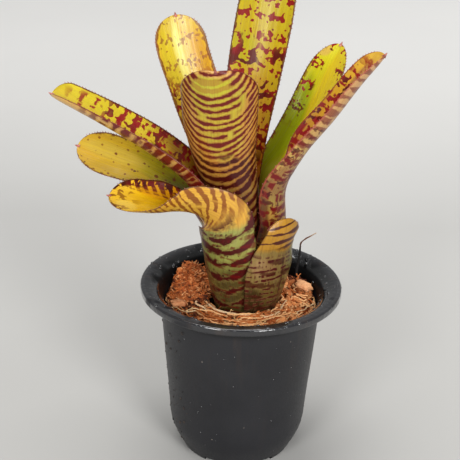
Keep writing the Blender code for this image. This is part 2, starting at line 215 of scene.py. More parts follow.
def makeBlotchGroup():
    tree, given, wanted = newGroup("blotches", "ShaderNodeTree", [
        ("Blade", "Vector", None), ("Width", "Float", 4.0), ("Length", "Float", 3.0),
        ("Amount", "Float", 0.3), ("Row Step", "Float", 12.0), ("Rows", "Float", 0.3),
        ("Seed", "Float", 0.0),
    ], [("Mask", "Float"), ("Tone", "Float")])
    part = split(given["Blade"])
    seed = given["Seed"]
    flat = combine(part[0] / given["Width"], part[1] / given["Length"], seed)
    patch = grain(flat, 1.5, 0.45)
    wave = calc("SINE", part[1] / given["Row Step"] * math.tau)
    lift = wave * given["Rows"] * 0.12
    level = patch + lift
    limit = ramp(given["Amount"], 0.0, 1.0, 0.72, 0.35, smooth=False)
    mask = ramp(level - limit, -0.012, 0.02)
    tone = grain(flat * 0.4, 1.0)
    plug(tree, wanted["Mask"], mask)
    plug(tree, wanted["Tone"], tone)
    return tree


def makeDotsGroup():
    tree, given, wanted = newGroup("dots", "ShaderNodeTree", [
        ("Vector", "Vector", None), ("Spacing", "Float", 4.0), ("Size", "Float", 0.5),
        ("Share", "Float", 0.4), ("Seed", "Float", 0.0),
    ], [("Mask", "Float"), ("Tone", "Float")])
    place = given["Vector"] + combine(given["Seed"], given["Seed"] * 3.0, 0.0)
    wave = put(tree, "ShaderNodeTexNoise", {"Vector": place, "Scale": 0.9, "Detail": 1.0})
    bent = place + outlet(wave, "Color") * 0.8
    cells = put(tree, "ShaderNodeTexVoronoi", {"Vector": bent, "Scale": 1.0 / given["Spacing"]})
    colour = put(tree, "ShaderNodeSeparateColor", {"Color": outlet(cells, "Color")})
    reach = outlet(cells, "Distance") * given["Spacing"]
    size = given["Size"] * (colour.outputs[1] + 0.4)
    spot = ramp(size - reach, -0.08, 0.12)
    chosen = calc("LESS_THAN", colour.outputs[0], given["Share"])
    plug(tree, wanted["Mask"], spot * chosen)
    plug(tree, wanted["Tone"], colour.outputs[2])
    return tree


def makeFibreGroup():
    # fine lines that run along a blade, with slower clouds of tone
    tree, given, wanted = newGroup("bladeFibre", "ShaderNodeTree", [
        ("Blade", "Vector", None), ("Line Width", "Float", 0.5), ("Seed", "Float", 0.0),
    ], [("Lines", "Float"), ("Clouds", "Float"), ("Pores", "Float")])
    part = split(given["Blade"])
    lines = grain(combine(part[0] / given["Line Width"], part[1] * 0.03, given["Seed"]), 3.0, 0.6)
    clouds = grain(combine(part[0] * 0.14, part[1] * 0.05, given["Seed"]), 3.0)
    pores = grain(given["Blade"] * 3.2, 2.0, 0.7)
    plug(tree, wanted["Lines"], lines)
    plug(tree, wanted["Clouds"], clouds)
    plug(tree, wanted["Pores"], pores)
    return tree


bandsGroup = makeBandsGroup()
blotchGroup = makeBlotchGroup()
dotsGroup = makeDotsGroup()
fibreGroup = makeFibreGroup()


def fillGroup(tree, group, plugs):
    made = tree.nodes.new("ShaderNodeGroup")
    made.node_tree = group
    for name, value in plugs.items():
        plug(tree, made.inputs[name], value)
    return made


def colourFrom(red, green, blue, alpha=1.0):
    # display values 0 to 255 to scene linear
    def linear(value):
        value /= 255.0
        return value / 12.92 if value <= 0.04045 else ((value + 0.055) / 1.055) ** 2.4
    return (linear(red), linear(green), linear(blue), alpha)


def mixColour(amount, first, second, blend="MIX"):
    made = treeOf(amount, first).nodes.new("ShaderNodeMix")
    made.data_type = "RGBA"
    made.blend_type = blend
    for index, value in ((0, amount), (6, first), (7, second)):
        plug(made.id_data, made.inputs[index], value)
    return made.outputs[2]


def newMaterial(name):
    material = bpy.data.materials.new(name)
    material.use_nodes = True
    tree = material.node_tree
    shader = tree.nodes["Principled BSDF"]
    return material, tree, shader


def bumpFrom(tree, shader, height, strength, distance):
    bump = put(tree, "ShaderNodeBump", {"Height": height})
    bump.inputs["Strength"].default_value = strength
    bump.inputs["Distance"].default_value = distance
    plug(tree, shader.inputs["Normal"], bump.outputs[0])
    return bump


# leaves: one entry per leaf, in millimetres, degrees; the same curves as the CAD leaves

nest = {
    "axisX": 2.0, "axisY": 3.0, "baseZ": 75.5, "sheathTop": 113.5, "footRadius": 4.4, "footPitch": 1.35,
    "topRadius": 8.64, "topPitch": 1.92, "swell": ((0.0, 0.0), (0.5, 0.58), (1.0, 1.0)),
    "rows": 150, "columns": 46, "thickness": 0.9, "levelFade": 12.0, "ripple": 0.28,
    "spineStep": 2, "spineFrom": 58.0, "spineSize": 0.75, "tipSpine": 2.6,
}
# blade stations: x, y, z, half width, half angle of the channel, roll, offset of the channel
leaves = {
    "leaf_tall": dict(
        azimuth=75, level=0, spans=(120, 100), tip=20,
        blade=(
            (1, 11.2, 129.5, 12, 80, 0, 0),
            (0, 12.5, 143.5, 12, 70, 0, 0),
            (1, 16, 168.5, 12.5, 50, 0, 0),
            (4, 24, 198.5, 14.5, 30, 0, 0),
            (8.5, 30, 228.5, 15, 25, 0, 0),
            (13, 36, 258.5, 13, 20, 0, 0),
        ),
    ),
    "leaf_back_left": dict(
        azimuth=110, level=1, spans=(120, 76), tip=15,
        blade=(
            (-4.5, 14, 129.5, 13, 60, 0, 0),
            (-8, 16, 143.5, 13, 52, 0, 0),
            (-19, 22, 168.5, 14, 42, 0, 0),
            (-28, 27, 193.5, 14, 30, 0, 0),
            (-34, 31, 211.5, 13.8, 22, 0, 0),
            (-37, 35, 226.5, 13.5, 18, 0, 0),
        ),
    ),
    "leaf_front": dict(
        azimuth=-95, level=2, spans=(110, 88), tip=16,
        blade=(
            (-2, -10.5, 129.5, 16.5, 82, 0, 0),
            (-6, -13, 143.5, 17.5, 76, 0, 0),
            (-11, -18, 162.5, 20, 70, 0, 0),
            (-13.5, -25, 183.5, 22, 64, 0, 0),
            (-14, -30, 202.5, 21.5, 56, 0, 0),
            (-15, -33, 216.5, 20, 45, 0, 0),
        ),
    ),
    "leaf_back_right": dict(
        azimuth=42, level=3, spans=(100, 72), tip=18,
        blade=(
            (13.5, 13.5, 131.5, 12.5, 50, 0, 8),
            (17, 16.5, 143.5, 12, 44, 0, 18),
            (23, 19, 158.5, 13.5, 44, 0, 4),
            (31, 23, 176.5, 13.5, 38, 0, 0),
            (39.5, 28, 196.5, 13, 28, 0, 0),
            (47, 32, 214.5, 11, 20, 0, 0),
        ),
    ),
    "leaf_left_upper": dict(
        azimuth=180, level=4, spans=(95, 82), tip=8,
        blade=(
            (-19, 2, 133.5, 20, 74, 0, 0),
            (-28, 1, 149.5, 18.5, 66, 0, 0),
            (-46, 0, 165.5, 18, 60, 0, 0),
            (-65, 0, 177.5, 17, 54, 0, 0),
            (-82, 0, 187, 15.5, 50, 0, 0),
            (-95, 0, 194, 14, 44, 0, 0),
        ),
    ),
    "leaf_left_lower": dict(
        azimuth=165, level=5, spans=(95, 68), tip=16,
        blade=(
            (-21, 8, 127.5, 17, 54, 0, -8),
            (-30, 11, 139.5, 14.5, 45, 8, 0),
            (-48, 12, 150, 13.5, 30, 24, 0),
            (-68, 12, 157.5, 13, 24, 32, 0),
            (-85, 12, 163.5, 12, 18, 34, 0),
        ),
    ),
    "leaf_right": dict(
        azimuth=-15, level=6, spans=(95, 70), tip=12,
        blade=(
            (21, -2, 131.5, 13, 58, 0, -20),
            (20.5, -3, 149.5, 13.5, 66, 0, -16),
            (28, -4, 166.5, 15, 74, -6, 0),
            (43, -5, 188.5, 14, 68, -12, 0),
            (56, -6, 208.5, 12.5, 58, -14, 0),
            (64, -7, 219.5, 10.5, 42, -14, 0),
        ),
    ),
    "leaf_front_left": dict(
        azimuth=-116, level=7, spans=(85, 60), flare=1.025, top=115.5, twist=-64,
        offsets=(-22, -18), tip=13,
        blade=(
            (-10.5, -19.5, 127.5, 18, 48, -64, -2),
            (-14, -20.5, 136, 16.5, 42, -60, 10),
            (-21.5, -19.5, 141, 16, 50, -40, 12),
            (-31, -17.5, 142, 17.5, 62, -16, 4),
            (-41, -17, 142.5, 17, 58, 4, 0),
            (-52, -17, 144.5, 15.5, 42, 12, 0),
            (-66, -17, 148.5, 13, 26, 18, 0),
        ),
    ),
    "leaf_stub": dict(
        azimuth=-54, level=8, spans=(48, 42), top=109.5, offsets=(10, 6), tip=6,
        blade=(
            (17.3, -17.5, 118, 14.5, 40, 0, 3),
            (19.5, -18.5, 126, 11.5, 34, 0, 0),
            (21.5, -18, 133, 10.5, 28, 0, 0),
            (21.5, -16.5, 139, 9, 24, 0, 0),
        ),
    ),
}


def smoothCurve(knots, values, places):
    gaps = np.diff(knots)
    slopes = np.diff(values, axis=0) / gaps[:, None]
    share = (gaps[:-1] / (gaps[:-1] + gaps[1:]))[:, None]
    tangents = np.vstack([slopes[:1], slopes[:-1] * (1 - share) + slopes[1:] * share, slopes[-1:]])
    index = np.clip(np.searchsorted(knots, places, side="right") - 1, 0, len(knots) - 2)
    step = gaps[index][:, None]
    u = (places - knots[index])[:, None] / step
    start = (2 * u**3 - 3 * u**2 + 1) * values[index] + (u**3 - 2 * u**2 + u) * step * tangents[index]
    end = (3 * u**2 - 2 * u**3) * values[index + 1] + (u**3 - u**2) * step * tangents[index + 1]
    return start + end


def leafStations(leaf):
    footRadius = nest["footRadius"] + nest["footPitch"] * leaf["level"]
    topRadius = (nest["topRadius"] + nest["topPitch"] * leaf["level"]) * leaf.get("flare", 1.0)
    top = leaf.get("top", nest["sheathTop"])
    azimuth = math.radians(leaf["azimuth"])
    offsets = leaf.get("offsets", (0, 0))
    stations = []
    for share, swell in nest["swell"]:
        radius = footRadius + (topRadius - footRadius) * swell
        span = leaf["spans"][0] + (leaf["spans"][1] - leaf["spans"][0]) * share
        offset = offsets[0] + (offsets[1] - offsets[0]) * share
        x = nest["axisX"] + radius * math.cos(azimuth)
        y = nest["axisY"] + radius * math.sin(azimuth)
        z = nest["baseZ"] + (top - nest["baseZ"]) * share
        stations.append((x, y, z, radius * math.radians(span), span, leaf.get("twist", 0), offset))
    return np.array(stations + [list(row) for row in leaf["blade"]], float)


def leafRail(name, leaf):
    # one point per row down the middle of the leaf, with what the tree needs to spread it
    stations = leafStations(leaf)
    steps = np.linalg.norm(np.diff(stations[:, :3], axis=0), axis=1)
    knots = np.concatenate([[0.0], np.cumsum(steps)])
    length = knots[-1]
    rows = np.linspace(0, 1, nest["rows"])
    if leaf["tip"]:
        rows = 1 - (1 - rows) ** 1.25
    places = rows * length
    values = smoothCurve(knots, stations, places)
    nudge = 0.1
    ahead = smoothCurve(knots, stations[:, :3], np.minimum(places + nudge, length))
    behind = smoothCurve(knots, stations[:, :3], np.maximum(places - nudge, 0))
    heading = (ahead - behind) / np.linalg.norm(ahead - behind, axis=1)[:, None]
    # sections lie level in the sheath and stand square to the blade beyond it
    upright = np.clip(1 - (places - knots[2]) / nest["levelFade"], 0, 1)[:, None]
    heading = heading * (1 - upright) + np.array([[0.0, 0.0, 1.0]]) * upright
    heading /= np.linalg.norm(heading, axis=1)[:, None]
    facing = math.radians(180 if "twist" in leaf else leaf["azimuth"])
    rise = heading[:, 2:3]
    level = np.array([[-math.cos(facing), -math.sin(facing), 0.0]])
    upper = level * rise + np.array([[0.0, 0.0, 1.0]]) * np.sqrt(np.maximum(1 - rise**2, 0))
    upper -= heading * np.sum(upper * heading, axis=1)[:, None]
    upper /= np.linalg.norm(upper, axis=1)[:, None]
    side = np.cross(upper, heading)
    roll = np.radians(values[:, 5:6])
    face = upper * np.cos(roll) + side * np.sin(roll)
    across = side * np.cos(roll) - upper * np.sin(roll)
    halfWidth = values[:, 3]
    if leaf["tip"]:
        intoTip = np.clip((places - (length - leaf["tip"])) / leaf["tip"], 0, 1)
        halfWidth = halfWidth * np.sqrt(np.maximum(1 - intoTip**2.2, 0.004))
    mesh = bpy.data.meshes.new(name)
    mesh.from_pydata((values[:, :3] * mm).tolist(), [], [])
    fields = {
        "across": across, "face": face, "heading": heading, "halfWidth": halfWidth * mm,
        "span": np.radians(values[:, 4]), "offset": np.radians(values[:, 6]), "place": places,
    }
    for label, data in fields.items():
        kind = "FLOAT_VECTOR" if data.ndim == 2 else "FLOAT"
        field = mesh.attributes.new(label, kind, "POINT")
        field.data.foreach_set("vector" if data.ndim == 2 else "value", data.astype(np.float32).ravel())
    return newObject(name, mesh)


def makeBladeTree():
    tree, given, wanted = newGroup("bladeFromRail", "GeometryNodeTree",
        [("Geometry", "Geometry", None), ("Rows", "Int", 100), ("Columns", "Int", 40),
        ("Thickness", "Float", 0.001), ("Ripple", "Float", 0.0002), ("Seed", "Float", 0.0),
        ("Spine Step", "Int", 2), ("Spine From", "Float", 58.0), ("Spine Size", "Float", 0.0008),
        ("Tip Spine", "Float", 0.0025), ("Upper", "Material", None), ("Under", "Material", None),
        ("Spine", "Material", None)], [("Geometry", "Geometry")])
    rail = given["Geometry"]
    rows, columns = given["Rows"], given["Columns"]
    grid = put(tree, "GeometryNodeMeshGrid", {"Size X": 1.0, "Size Y": 1.0, "Vertices X": columns,
                                              "Vertices Y": rows})
    spot = split(put(tree, "GeometryNodeInputPosition"))
    u = spot[0] * 2.0
    v = spot[1] + 0.5
    lastRow = rows - 1.0
    row = calc("FLOOR", v * lastRow + 0.5)

    def attribute(label, kind):
        return put(tree, "GeometryNodeInputNamedAttribute", {"Name": label}, data_type=kind)

    def fromRail(label, kind):
        field = put(tree, "GeometryNodeInputPosition") if label == "position" else attribute(label, kind)
        sample = put(tree, "GeometryNodeSampleIndex", {"Geometry": rail, "Value": field, "Index": row},
                     data_type=kind)
        return outlet(sample)

    def spread(read, side):
        # centre, radius and angle of the arc give the point and its inward normal
        radius = read("halfWidth", "FLOAT") / read("span", "FLOAT")
        angle = read("span", "FLOAT") * side + read("offset", "FLOAT")
        sine, cosine = (calc("SINE", angle), calc("COSINE", angle))
        sideways = read("across", "FLOAT_VECTOR") * (radius * sine)
        inward = read("face", "FLOAT_VECTOR") * (radius * (1.0 - cosine))
        point = read("position", "FLOAT_VECTOR") + (sideways + inward)
        normal = read("face", "FLOAT_VECTOR") * cosine - read("across", "FLOAT_VECTOR") * sine
        outward = read("across", "FLOAT_VECTOR") * cosine + read("face", "FLOAT_VECTOR") * sine
        return point, normal, outward

    acrossMm = fromRail("halfWidth", "FLOAT") * u * 1000.0
    bladeMm = combine(acrossMm, fromRail("place", "FLOAT"), 0.0)
    share = combine(u, v, 0.0)
    tagged = put(tree, "GeometryNodeStoreNamedAttribute", {
        "Geometry": grid, "Name": "bladeMm", "Value": bladeMm}, data_type="FLOAT_VECTOR", domain="POINT")
    tagged = put(tree, "GeometryNodeStoreNamedAttribute", {
        "Geometry": tagged, "Name": "bladeShare", "Value": share}, data_type="FLOAT_VECTOR", domain="POINT")
    point, normal, outward = spread(fromRail, u)
    # lens section: full along the middle, thin at the margins, shut at every border
    size = calc("ABSOLUTE", u)
    lens = 1.0 - calc("POWER", size, 2.0) * 0.6
    shutSide = calc("SQRT", calc("SUBTRACT", 1.0, calc("POWER", size, 16.0), clamp=True))
    shutEnd = calc("SQRT", calc("MULTIPLY", calc("MINIMUM", v, 1.0 - v), 60.0, clamp=True))
    half = given["Thickness"] * 0.5 * (lens * (shutSide * shutEnd))
    slow = grain(combine(acrossMm * 0.06, fromRail("place", "FLOAT") * 0.05, given["Seed"]), 2.0)
    ribs = grain(combine(acrossMm * 0.8, fromRail("place", "FLOAT") * 0.012, given["Seed"]), 1.0)
    wave = (slow - 0.5) * 2.0 + (ribs - 0.5) * 0.5
    lift = wave * given["Ripple"]
    sheets = []
    for label, sign in (("Upper", 1.0), ("Under", -1.0)):
        height = lift + half * sign
        where = point + normal * height
        sheet = put(tree, "GeometryNodeSetPosition", {"Geometry": tagged, "Position": where})
        if label == "Upper":
            sheet = put(tree, "GeometryNodeFlipFaces", {"Mesh": sheet})
        sheets.append(put(tree, "GeometryNodeSetMaterial", {"Geometry": sheet, "Material": given[label]}))
    both = tree.nodes.new("GeometryNodeJoinGeometry")
    for sheet in reversed(sheets):
        tree.links.new(outlet(sheet), both.inputs[0])
    welded = put(tree, "GeometryNodeMergeByDistance", {"Geometry": both, "Distance": 0.000008})
    smooth = put(tree, "GeometryNodeSetShadeSmooth", {"Geometry": welded})

    # spines stand on the rail's own points, moved out to each margin
    index = put(tree, "GeometryNodeInputIndex")
    cone = put(tree, "GeometryNodeMeshCone", {"Vertices": 5, "Side Segments": 1, "Radius Top": 0.0,
                                              "Radius Bottom": 0.28, "Depth": 1.0})
    pieces = [smooth]
    turn = calc("MODULO", index, given["Spine Step"])
    chosen = (calc("LESS_THAN", turn, 0.5) * (calc("GREATER_THAN", attribute("place", "FLOAT"),
        given["Spine From"]) * calc("LESS_THAN", index, lastRow - 5.0)))
    for side in (-1.0, 1.0):
        edge, _, out = spread(attributeOrPosition(tree, attribute), side)
        points = put(tree, "GeometryNodeMeshToPoints",
            {"Mesh": rail, "Selection": chosen, "Position": edge})
        lean = out * (side * 0.8) + attribute("heading", "FLOAT_VECTOR")
        aim = put(tree, "FunctionNodeAlignRotationToVector", {"Vector": lean}, axis="Z")
        size = put(tree, "FunctionNodeRandomValue", {"Min": 0.6, "Max": 1.25, "Seed": int(7 + side)},
                   data_type="FLOAT")
        spines = put(tree, "GeometryNodeInstanceOnPoints",
            {"Points": points, "Instance": cone, "Rotation": aim,
            "Scale": size * given["Spine Size"]})
        pieces.append(put(tree, "GeometryNodeSetMaterial", {
            "Geometry": put(tree, "GeometryNodeRealizeInstances", {"Geometry": spines}),
            "Material": given["Spine"]}))
    last = calc("COMPARE", index, lastRow, 0.5)
    end = put(tree, "GeometryNodeMeshToPoints", {"Mesh": rail, "Selection": last})
    tipCone = put(tree, "GeometryNodeMeshCone", {"Vertices": 10, "Side Segments": 4, "Radius Top": 0.04,
                                                 "Radius Bottom": 0.42, "Depth": 1.0})
    lowered = put(tree, "GeometryNodeTransform", {"Geometry": tipCone, "Translation": (0.0, 0.0, -0.45)})
    aim = put(tree, "FunctionNodeAlignRotationToVector", {"Vector": attribute("heading", "FLOAT_VECTOR")},
        axis="Z")
    tips = put(tree, "GeometryNodeInstanceOnPoints", {
        "Points": end, "Instance": lowered, "Rotation": aim, "Scale": given["Tip Spine"]})
    pieces.append(put(tree, "GeometryNodeSetMaterial", {
        "Geometry": put(tree, "GeometryNodeRealizeInstances", {"Geometry": tips}),
        "Material": given["Spine"]}))
    whole = tree.nodes.new("GeometryNodeJoinGeometry")
    for piece in reversed(pieces):
        tree.links.new(outlet(piece), whole.inputs[0])
    tree.links.new(whole.outputs[0], wanted["Geometry"])
    return tree


def attributeOrPosition(tree, attribute):
    def read(label, kind):
        if label == "position":
            return outlet(put(tree, "GeometryNodeInputPosition"))
        return outlet(attribute(label, kind))
    return read


# leaf finishes: colours run from the foot of the sheath to the tip of the blade

# display colours 0 to 255; places across and along the blade are in millimetres
maroon = (96, 10, 14)
deepMaroon = (62, 6, 8)
crimson = (146, 14, 26)
leafLooks = {
    "leaf_tall": {
        "upper": {
            "tone": (0.62, 0.68, 0.34),
            "specular": 0.2,
            "ground": ((50, (150, 84, 40)), (85, (206, 128, 44)), (120, (214, 172, 40)),
                       (170, (208, 178, 40))),
            "patches": ((10, 138, 8, 10, (196, 180, 36), 0.7), (-2, 100, 9, 26, (214, 150, 60), 0.6)),
            "bands": ({"spacing": 10.0, "fill": 0.22, "wobble": 3.0, "break": 0.66, "gap": 3.2, "low": 96,
                       "colour": crimson, "ragged": 0.7},),
            "blotches": (
                {"width": 2.5, "length": 2.5, "amount": 0.35, "rowStep": 9.0, "rows": 0.7, "low": 80,
                 "second": crimson},
                {"width": 3.8, "length": 4.2, "amount": 0.37, "rowStep": 22.0, "rows": 0.8, "low": 84,
                 "high": 146,
                 "seed": 3.0},
                {"width": 4.0, "length": 6.0, "amount": 0.62, "high": 88, "seed": 5.0, "colour": maroon,
                 "second": deepMaroon},
            ),
            "dots": ({"spacing": 3.4, "size": 0.55, "share": 0.35, "low": 112},),
            "margin": {"inset": 0.93, "ragged": 0.2, "rate": 0.28, "strength": 0.85},
            "gloss": 0.27,
        },
        "under": {
            "ground": ((60, (150, 128, 70)), (110, (176, 150, 70)), (170, (198, 168, 62))),
            "bands": ({"spacing": 8.0, "fill": 0.5, "gap": 9.0, "break": 0.36},),
            "margin": {"inset": 0.95},
        },
    },
    "leaf_back_left": {
        "upper": {
            "tone": (0.68, 0.72, 0.38),
            "ground": ((60, (150, 96, 40)), (95, (200, 150, 50)), (120, (226, 184, 58)),
                       (160, (232, 182, 58))),
            # the last patch, a near-white streak along the middle, is a painted highlight
            "patches": ((5, 142, 7, 20, (232, 204, 60), 0.8), (-9, 132, 5, 18, (222, 156, 30), 0.75),
                        (2, 158, 14, 7, (232, 196, 96), 0.6), (1.5, 136, 2.6, 24, (255, 240, 170), 0.7)),
            "blotches": (
                {"width": 1.8, "length": 2.2, "amount": 0.28, "rowStep": 12.0, "rows": 0.9, "low": 110,
                 "strength": 0.7, "colour": (160, 84, 44), "second": (128, 52, 34)},
                {"width": 2.4, "length": 3.0, "amount": 0.52, "high": 128, "edge": (0.45, 2.0), "seed": 2.0},
            ),
            "dots": ({"spacing": 6.0, "size": 0.6, "share": 0.3, "colour": (150, 70, 36)},),
            "margin": {"inset": 0.90, "ragged": 0.30, "rate": 0.2, "strength": 0.8, "colour": (120, 52, 30)},
            "gloss": 0.24, "bump": 0.5,
        },
        "under": {
            "ground": ((60, (146, 128, 76)), (110, (180, 152, 74)), (160, (206, 172, 72))),
            "bands": ({"spacing": 7.0, "fill": 0.42, "gap": 8.0, "break": 0.4},),
            "margin": {"inset": 0.95},
        },
    },
    "leaf_front": {
        "upper": {
            "ground": ((60, (150, 90, 44)), (100, (206, 150, 50)), (130, (222, 186, 74)),
                       (150, (226, 190, 96))),
            "blotches": ({"width": 3.0, "length": 2.6, "amount": 0.5, "rowStep": 10.0, "rows": 0.7},),
            "margin": {"inset": 0.94, "colour": (176, 62, 62), "ragged": 0.1},
            "gloss": 0.24,
        },
        "under": {
            "tone": (0.88, 0.90, 0.62),
            "ground": ((40, (92, 70, 40)), (78, (142, 104, 52)), (98, (190, 136, 66)), (116, (188, 160, 62)),
                       (134, (176, 162, 52)), (146, (198, 158, 92))),
            "patches": ((-3, 138, 11, 6, (180, 172, 54), 0.95), (-16, 112, 6, 30, (196, 142, 80), 0.8),
                        (18, 118, 7, 26, (196, 136, 70), 0.85), (3, 108, 9, 12, (172, 156, 56), 0.6),
                        (0, 146, 14, 3.5, (206, 160, 108), 0.8)),
            "bands": (
                {"spacing": 3.75, "fill": 0.44, "wobble": 4.6, "ragged": 1.15, "break": 0.30, "gap": 8.0,
                 "bow": -0.024, "tilt": -0.13, "low": 97, "soft": 4.0, "halo": (150, 84, 44),
                 "clear": ((-3, 138, 9.5, 4.4),)},
                {"spacing": 4.9, "fill": 0.50, "wobble": 6.0, "ragged": 1.2, "break": 0.30, "gap": 6.0,
                 "bow": -0.016, "tilt": -0.05, "low": -50, "high": 98, "soft": 4.0, "seed": 4.0,
                 "colour": deepMaroon, "halo": (124, 60, 36)},
            ),
            "margin": {"inset": 0.965, "ragged": 0.04, "strength": 0.7},
            "lineStrength": 0.6, "gloss": 0.32,
        },
    },
    "leaf_back_right": {
        "upper": {
            "tone": (0.84, 0.98, 0.62),
            "ground": ((50, (140, 110, 36)), (85, (160, 150, 30)), (112, (166, 164, 26)),
                       (128, (204, 184, 38)),
                       (148, (214, 190, 48))),
            "patches": ((-4, 110, 8, 40, (214, 172, 36), 0.85), (8, 100, 6, 26, (150, 152, 18), 0.85),
                        (8, 143, 5, 4, (210, 150, 110), 0.6)),
            "blotches": ({"width": 2.4, "length": 2.2, "amount": 0.34, "rowStep": 12.0, "rows": 0.9,
                          "low": 104,
                          "edge": (0.35, 2.0)},
                         {"width": 2.2, "length": 2.0, "amount": 0.5, "rowStep": 9.0, "rows": 0.9,
                          "edge": (0.88, 2.0), "seed": 4.0, "strength": 0.8}),
            "margin": {"inset": 0.95, "ragged": 0.2, "rate": 0.2, "strength": 0.7},
            "gloss": 0.25,
        },
        "under": {
            "ground": ((60, (140, 128, 70)), (110, (166, 152, 66)), (150, (192, 170, 66))),
            "bands": ({"spacing": 7.0, "fill": 0.46, "gap": 9.0, "break": 0.38},),
            "margin": {"inset": 0.95},
        },
    },
    "leaf_left_upper": {
        "upper": {
            "tone": (0.66, 0.74, 0.5),
            "ground": ((60, (120, 62, 30)), (88, (184, 128, 40)), (110, (218, 178, 44)),
                       (158, (226, 190, 60))),
            # the first patch, darker brown along the middle, is painted shade
            "patches": ((0, 96, 6, 30, (146, 76, 36), 0.8), (-12, 130, 6, 30, (216, 190, 40), 0.5)),
            "bands": (
                {"spacing": 7.4, "fill": 0.34, "wobble": 5.0, "break": 0.42, "gap": 4.0, "high": 148,
                 "ragged": 1.2,
                 "colour": crimson},
            ),
            "blotches": (
                {"width": 3.6, "length": 2.6, "amount": 0.46, "rowStep": 14.0, "rows": 0.7, "high": 134,
                 "second": (110, 30, 22)},
                # this blotch, dark maroon on the inner side below 104 mm, is painted shade
                {"width": 4.0, "length": 5.0, "amount": 0.8, "high": 104, "edge": (-1.0, 0.42), "seed": 6.0,
                 "colour": maroon, "second": deepMaroon},
            ),
            "dots": ({"spacing": 4.0, "size": 0.5, "share": 0.25},),
            "margin": {"inset": 0.955, "ragged": 0.06, "strength": 0.8},
            "gloss": 0.27,
        },
        "under": {
            "ground": ((60, (110, 84, 50)), (96, (176, 134, 72)), (136, (204, 160, 92)),
                       (156, (216, 170, 96))),
            "bands": (
                {"spacing": 5.8, "fill": 0.52, "wobble": 3.0, "break": 0.26, "gap": 7.0, "high": 141,
                 "halo": (150, 86, 50)},
                {"spacing": 3.2, "fill": 0.42, "wobble": 2.0, "break": 0.4, "gap": 5.0, "high": 112,
                 "seed": 5.0},
            ),
            "margin": {"inset": 0.95, "strength": 0.8},
        },
    },
    "leaf_left_lower": {
        "upper": {
            "tone": (0.62, 0.70, 0.40),
            "ground": ((56, (96, 70, 22)), (76, (136, 122, 26)), (92, (180, 152, 36)), (108, (222, 172, 56)),
                       (130, (228, 172, 66))),
            "patches": ((-3, 112, 5, 18, (226, 184, 84), 0.75), (6, 104, 5, 16, (212, 164, 50), 0.6)),
            "blotches": ({"width": 2.0, "length": 1.6, "amount": 0.42, "rowStep": 7.0, "rows": 0.9,
                          "edge": (0.90, 2.0), "colour": (96, 44, 26)},),
            "dots": ({"spacing": 4.2, "size": 0.85, "share": 0.6, "colour": (120, 46, 30), "strength": 0.9},
                     {"spacing": 2.6, "size": 0.55, "share": 0.6, "seed": 4.0, "strength": 0.75}),
            "margin": {"inset": 0.94, "ragged": 0.16, "rate": 0.3, "strength": 0.75, "colour": (104, 46, 28)},
            "gloss": 0.31, "paleStrength": 0.2,
        },
        "under": {
            "ground": ((50, (124, 112, 76)), (90, (166, 140, 74)), (130, (206, 162, 82))),
            "bands": ({"spacing": 6.0, "fill": 0.5, "gap": 8.0, "break": 0.35, "high": 110,
                       "halo": (140, 84, 50)},),
            "margin": {"inset": 0.95},
        },
    },
    "leaf_right": {
        "upper": {
            "tone": (0.76, 0.80, 0.6),
            "ground": ((60, (140, 78, 40)), (100, (204, 140, 54)), (130, (224, 168, 44)),
                       (156, (230, 180, 76))),
            "patches": ((5, 120, 3.5, 30, (176, 116, 84), 0.8),),
            "bands": ({"spacing": 7.6, "fill": 0.40, "wobble": 5.0, "break": 0.40, "gap": 4.0, "high": 150,
                       "ragged": 1.2, "colour": crimson},),
            "blotches": ({"width": 3.0, "length": 3.0, "amount": 0.5, "rowStep": 11.0, "rows": 0.7,
                          "high": 146},),
            "margin": {"inset": 0.95, "colour": (150, 52, 44), "strength": 0.7},
            "gloss": 0.27,
        },
        "under": {
            "ground": ((40, (156, 110, 58)), (56, (176, 128, 62)), (68, (142, 120, 62)), (92, (176, 146, 84)),
                       (120, (184, 142, 98)), (156, (192, 148, 108))),
            "patches": ((-14, 66, 6, 16, (88, 50, 30), 0.9), (6, 66, 6, 12, (170, 128, 60), 0.7),
                        (-6, 84, 7, 12, (112, 62, 44), 0.6), (0, 52, 16, 7, (74, 34, 26), 0.6)),
            "blotches": ({"width": 2.2, "length": 1.5, "amount": 0.46, "rowStep": 4.6, "rows": 0.7,
                          "high": 118,
                          "colour": maroon, "second": deepMaroon, "strength": 0.85},),
            "bands": (
                {"spacing": 4.6, "fill": 0.44, "wobble": 7.0, "ragged": 1.6, "break": 0.44, "gap": 3.4,
                 "bow": -0.02,
                 "high": 100, "halo": (134, 74, 42)},
                {"spacing": 5.2, "fill": 0.54, "wobble": 5.0, "ragged": 1.1, "break": 0.30, "gap": 5.0,
                 "low": 96,
                 "soft": 6.0, "seed": 7.0, "colour": (112, 44, 36), "strength": 0.8},
            ),
            "margin": {"inset": 0.95, "colour": (150, 70, 60)},
        },
    },
    "leaf_front_left": {
        "upper": {
            "tone": (0.94, 1.0, 0.5),
            "ground": ((50, (120, 66, 26)), (78, (196, 134, 26)), (96, (222, 168, 22)),
                       (118, (226, 176, 66))),
            # the first patch, a pale cream spot, is a painted highlight
            "patches": ((6, 108, 7, 6, (232, 196, 120), 0.5), (-12, 92, 6, 14, (200, 128, 20), 0.7)),
            "bands": ({"spacing": 4.6, "fill": 0.5, "wobble": 4.0, "break": 0.3, "gap": 4.0, "tilt": 0.55,
                       "low": 60, "clear": ((8, 96, 18.5, 40),), "ragged": 0.9},),
            "blotches": ({"width": 3.4, "length": 2.2, "amount": 0.55, "edge": (0.72, 2.0),
                          "colour": deepMaroon},
                         {"width": 2.0, "length": 3.4, "amount": 0.42, "low": 104, "edge": (-1.0, 0.75),
                          "colour": (120, 52, 26), "strength": 0.7, "seed": 3.0}),
            "dots": ({"spacing": 5.0, "size": 0.5, "share": 0.25},),
            "margin": {"inset": 0.94, "colour": (88, 34, 22), "ragged": 0.12, "strength": 0.9},
            "gloss": 0.28,
        },
        "under": {
            "tone": (0.86, 0.92, 0.7),
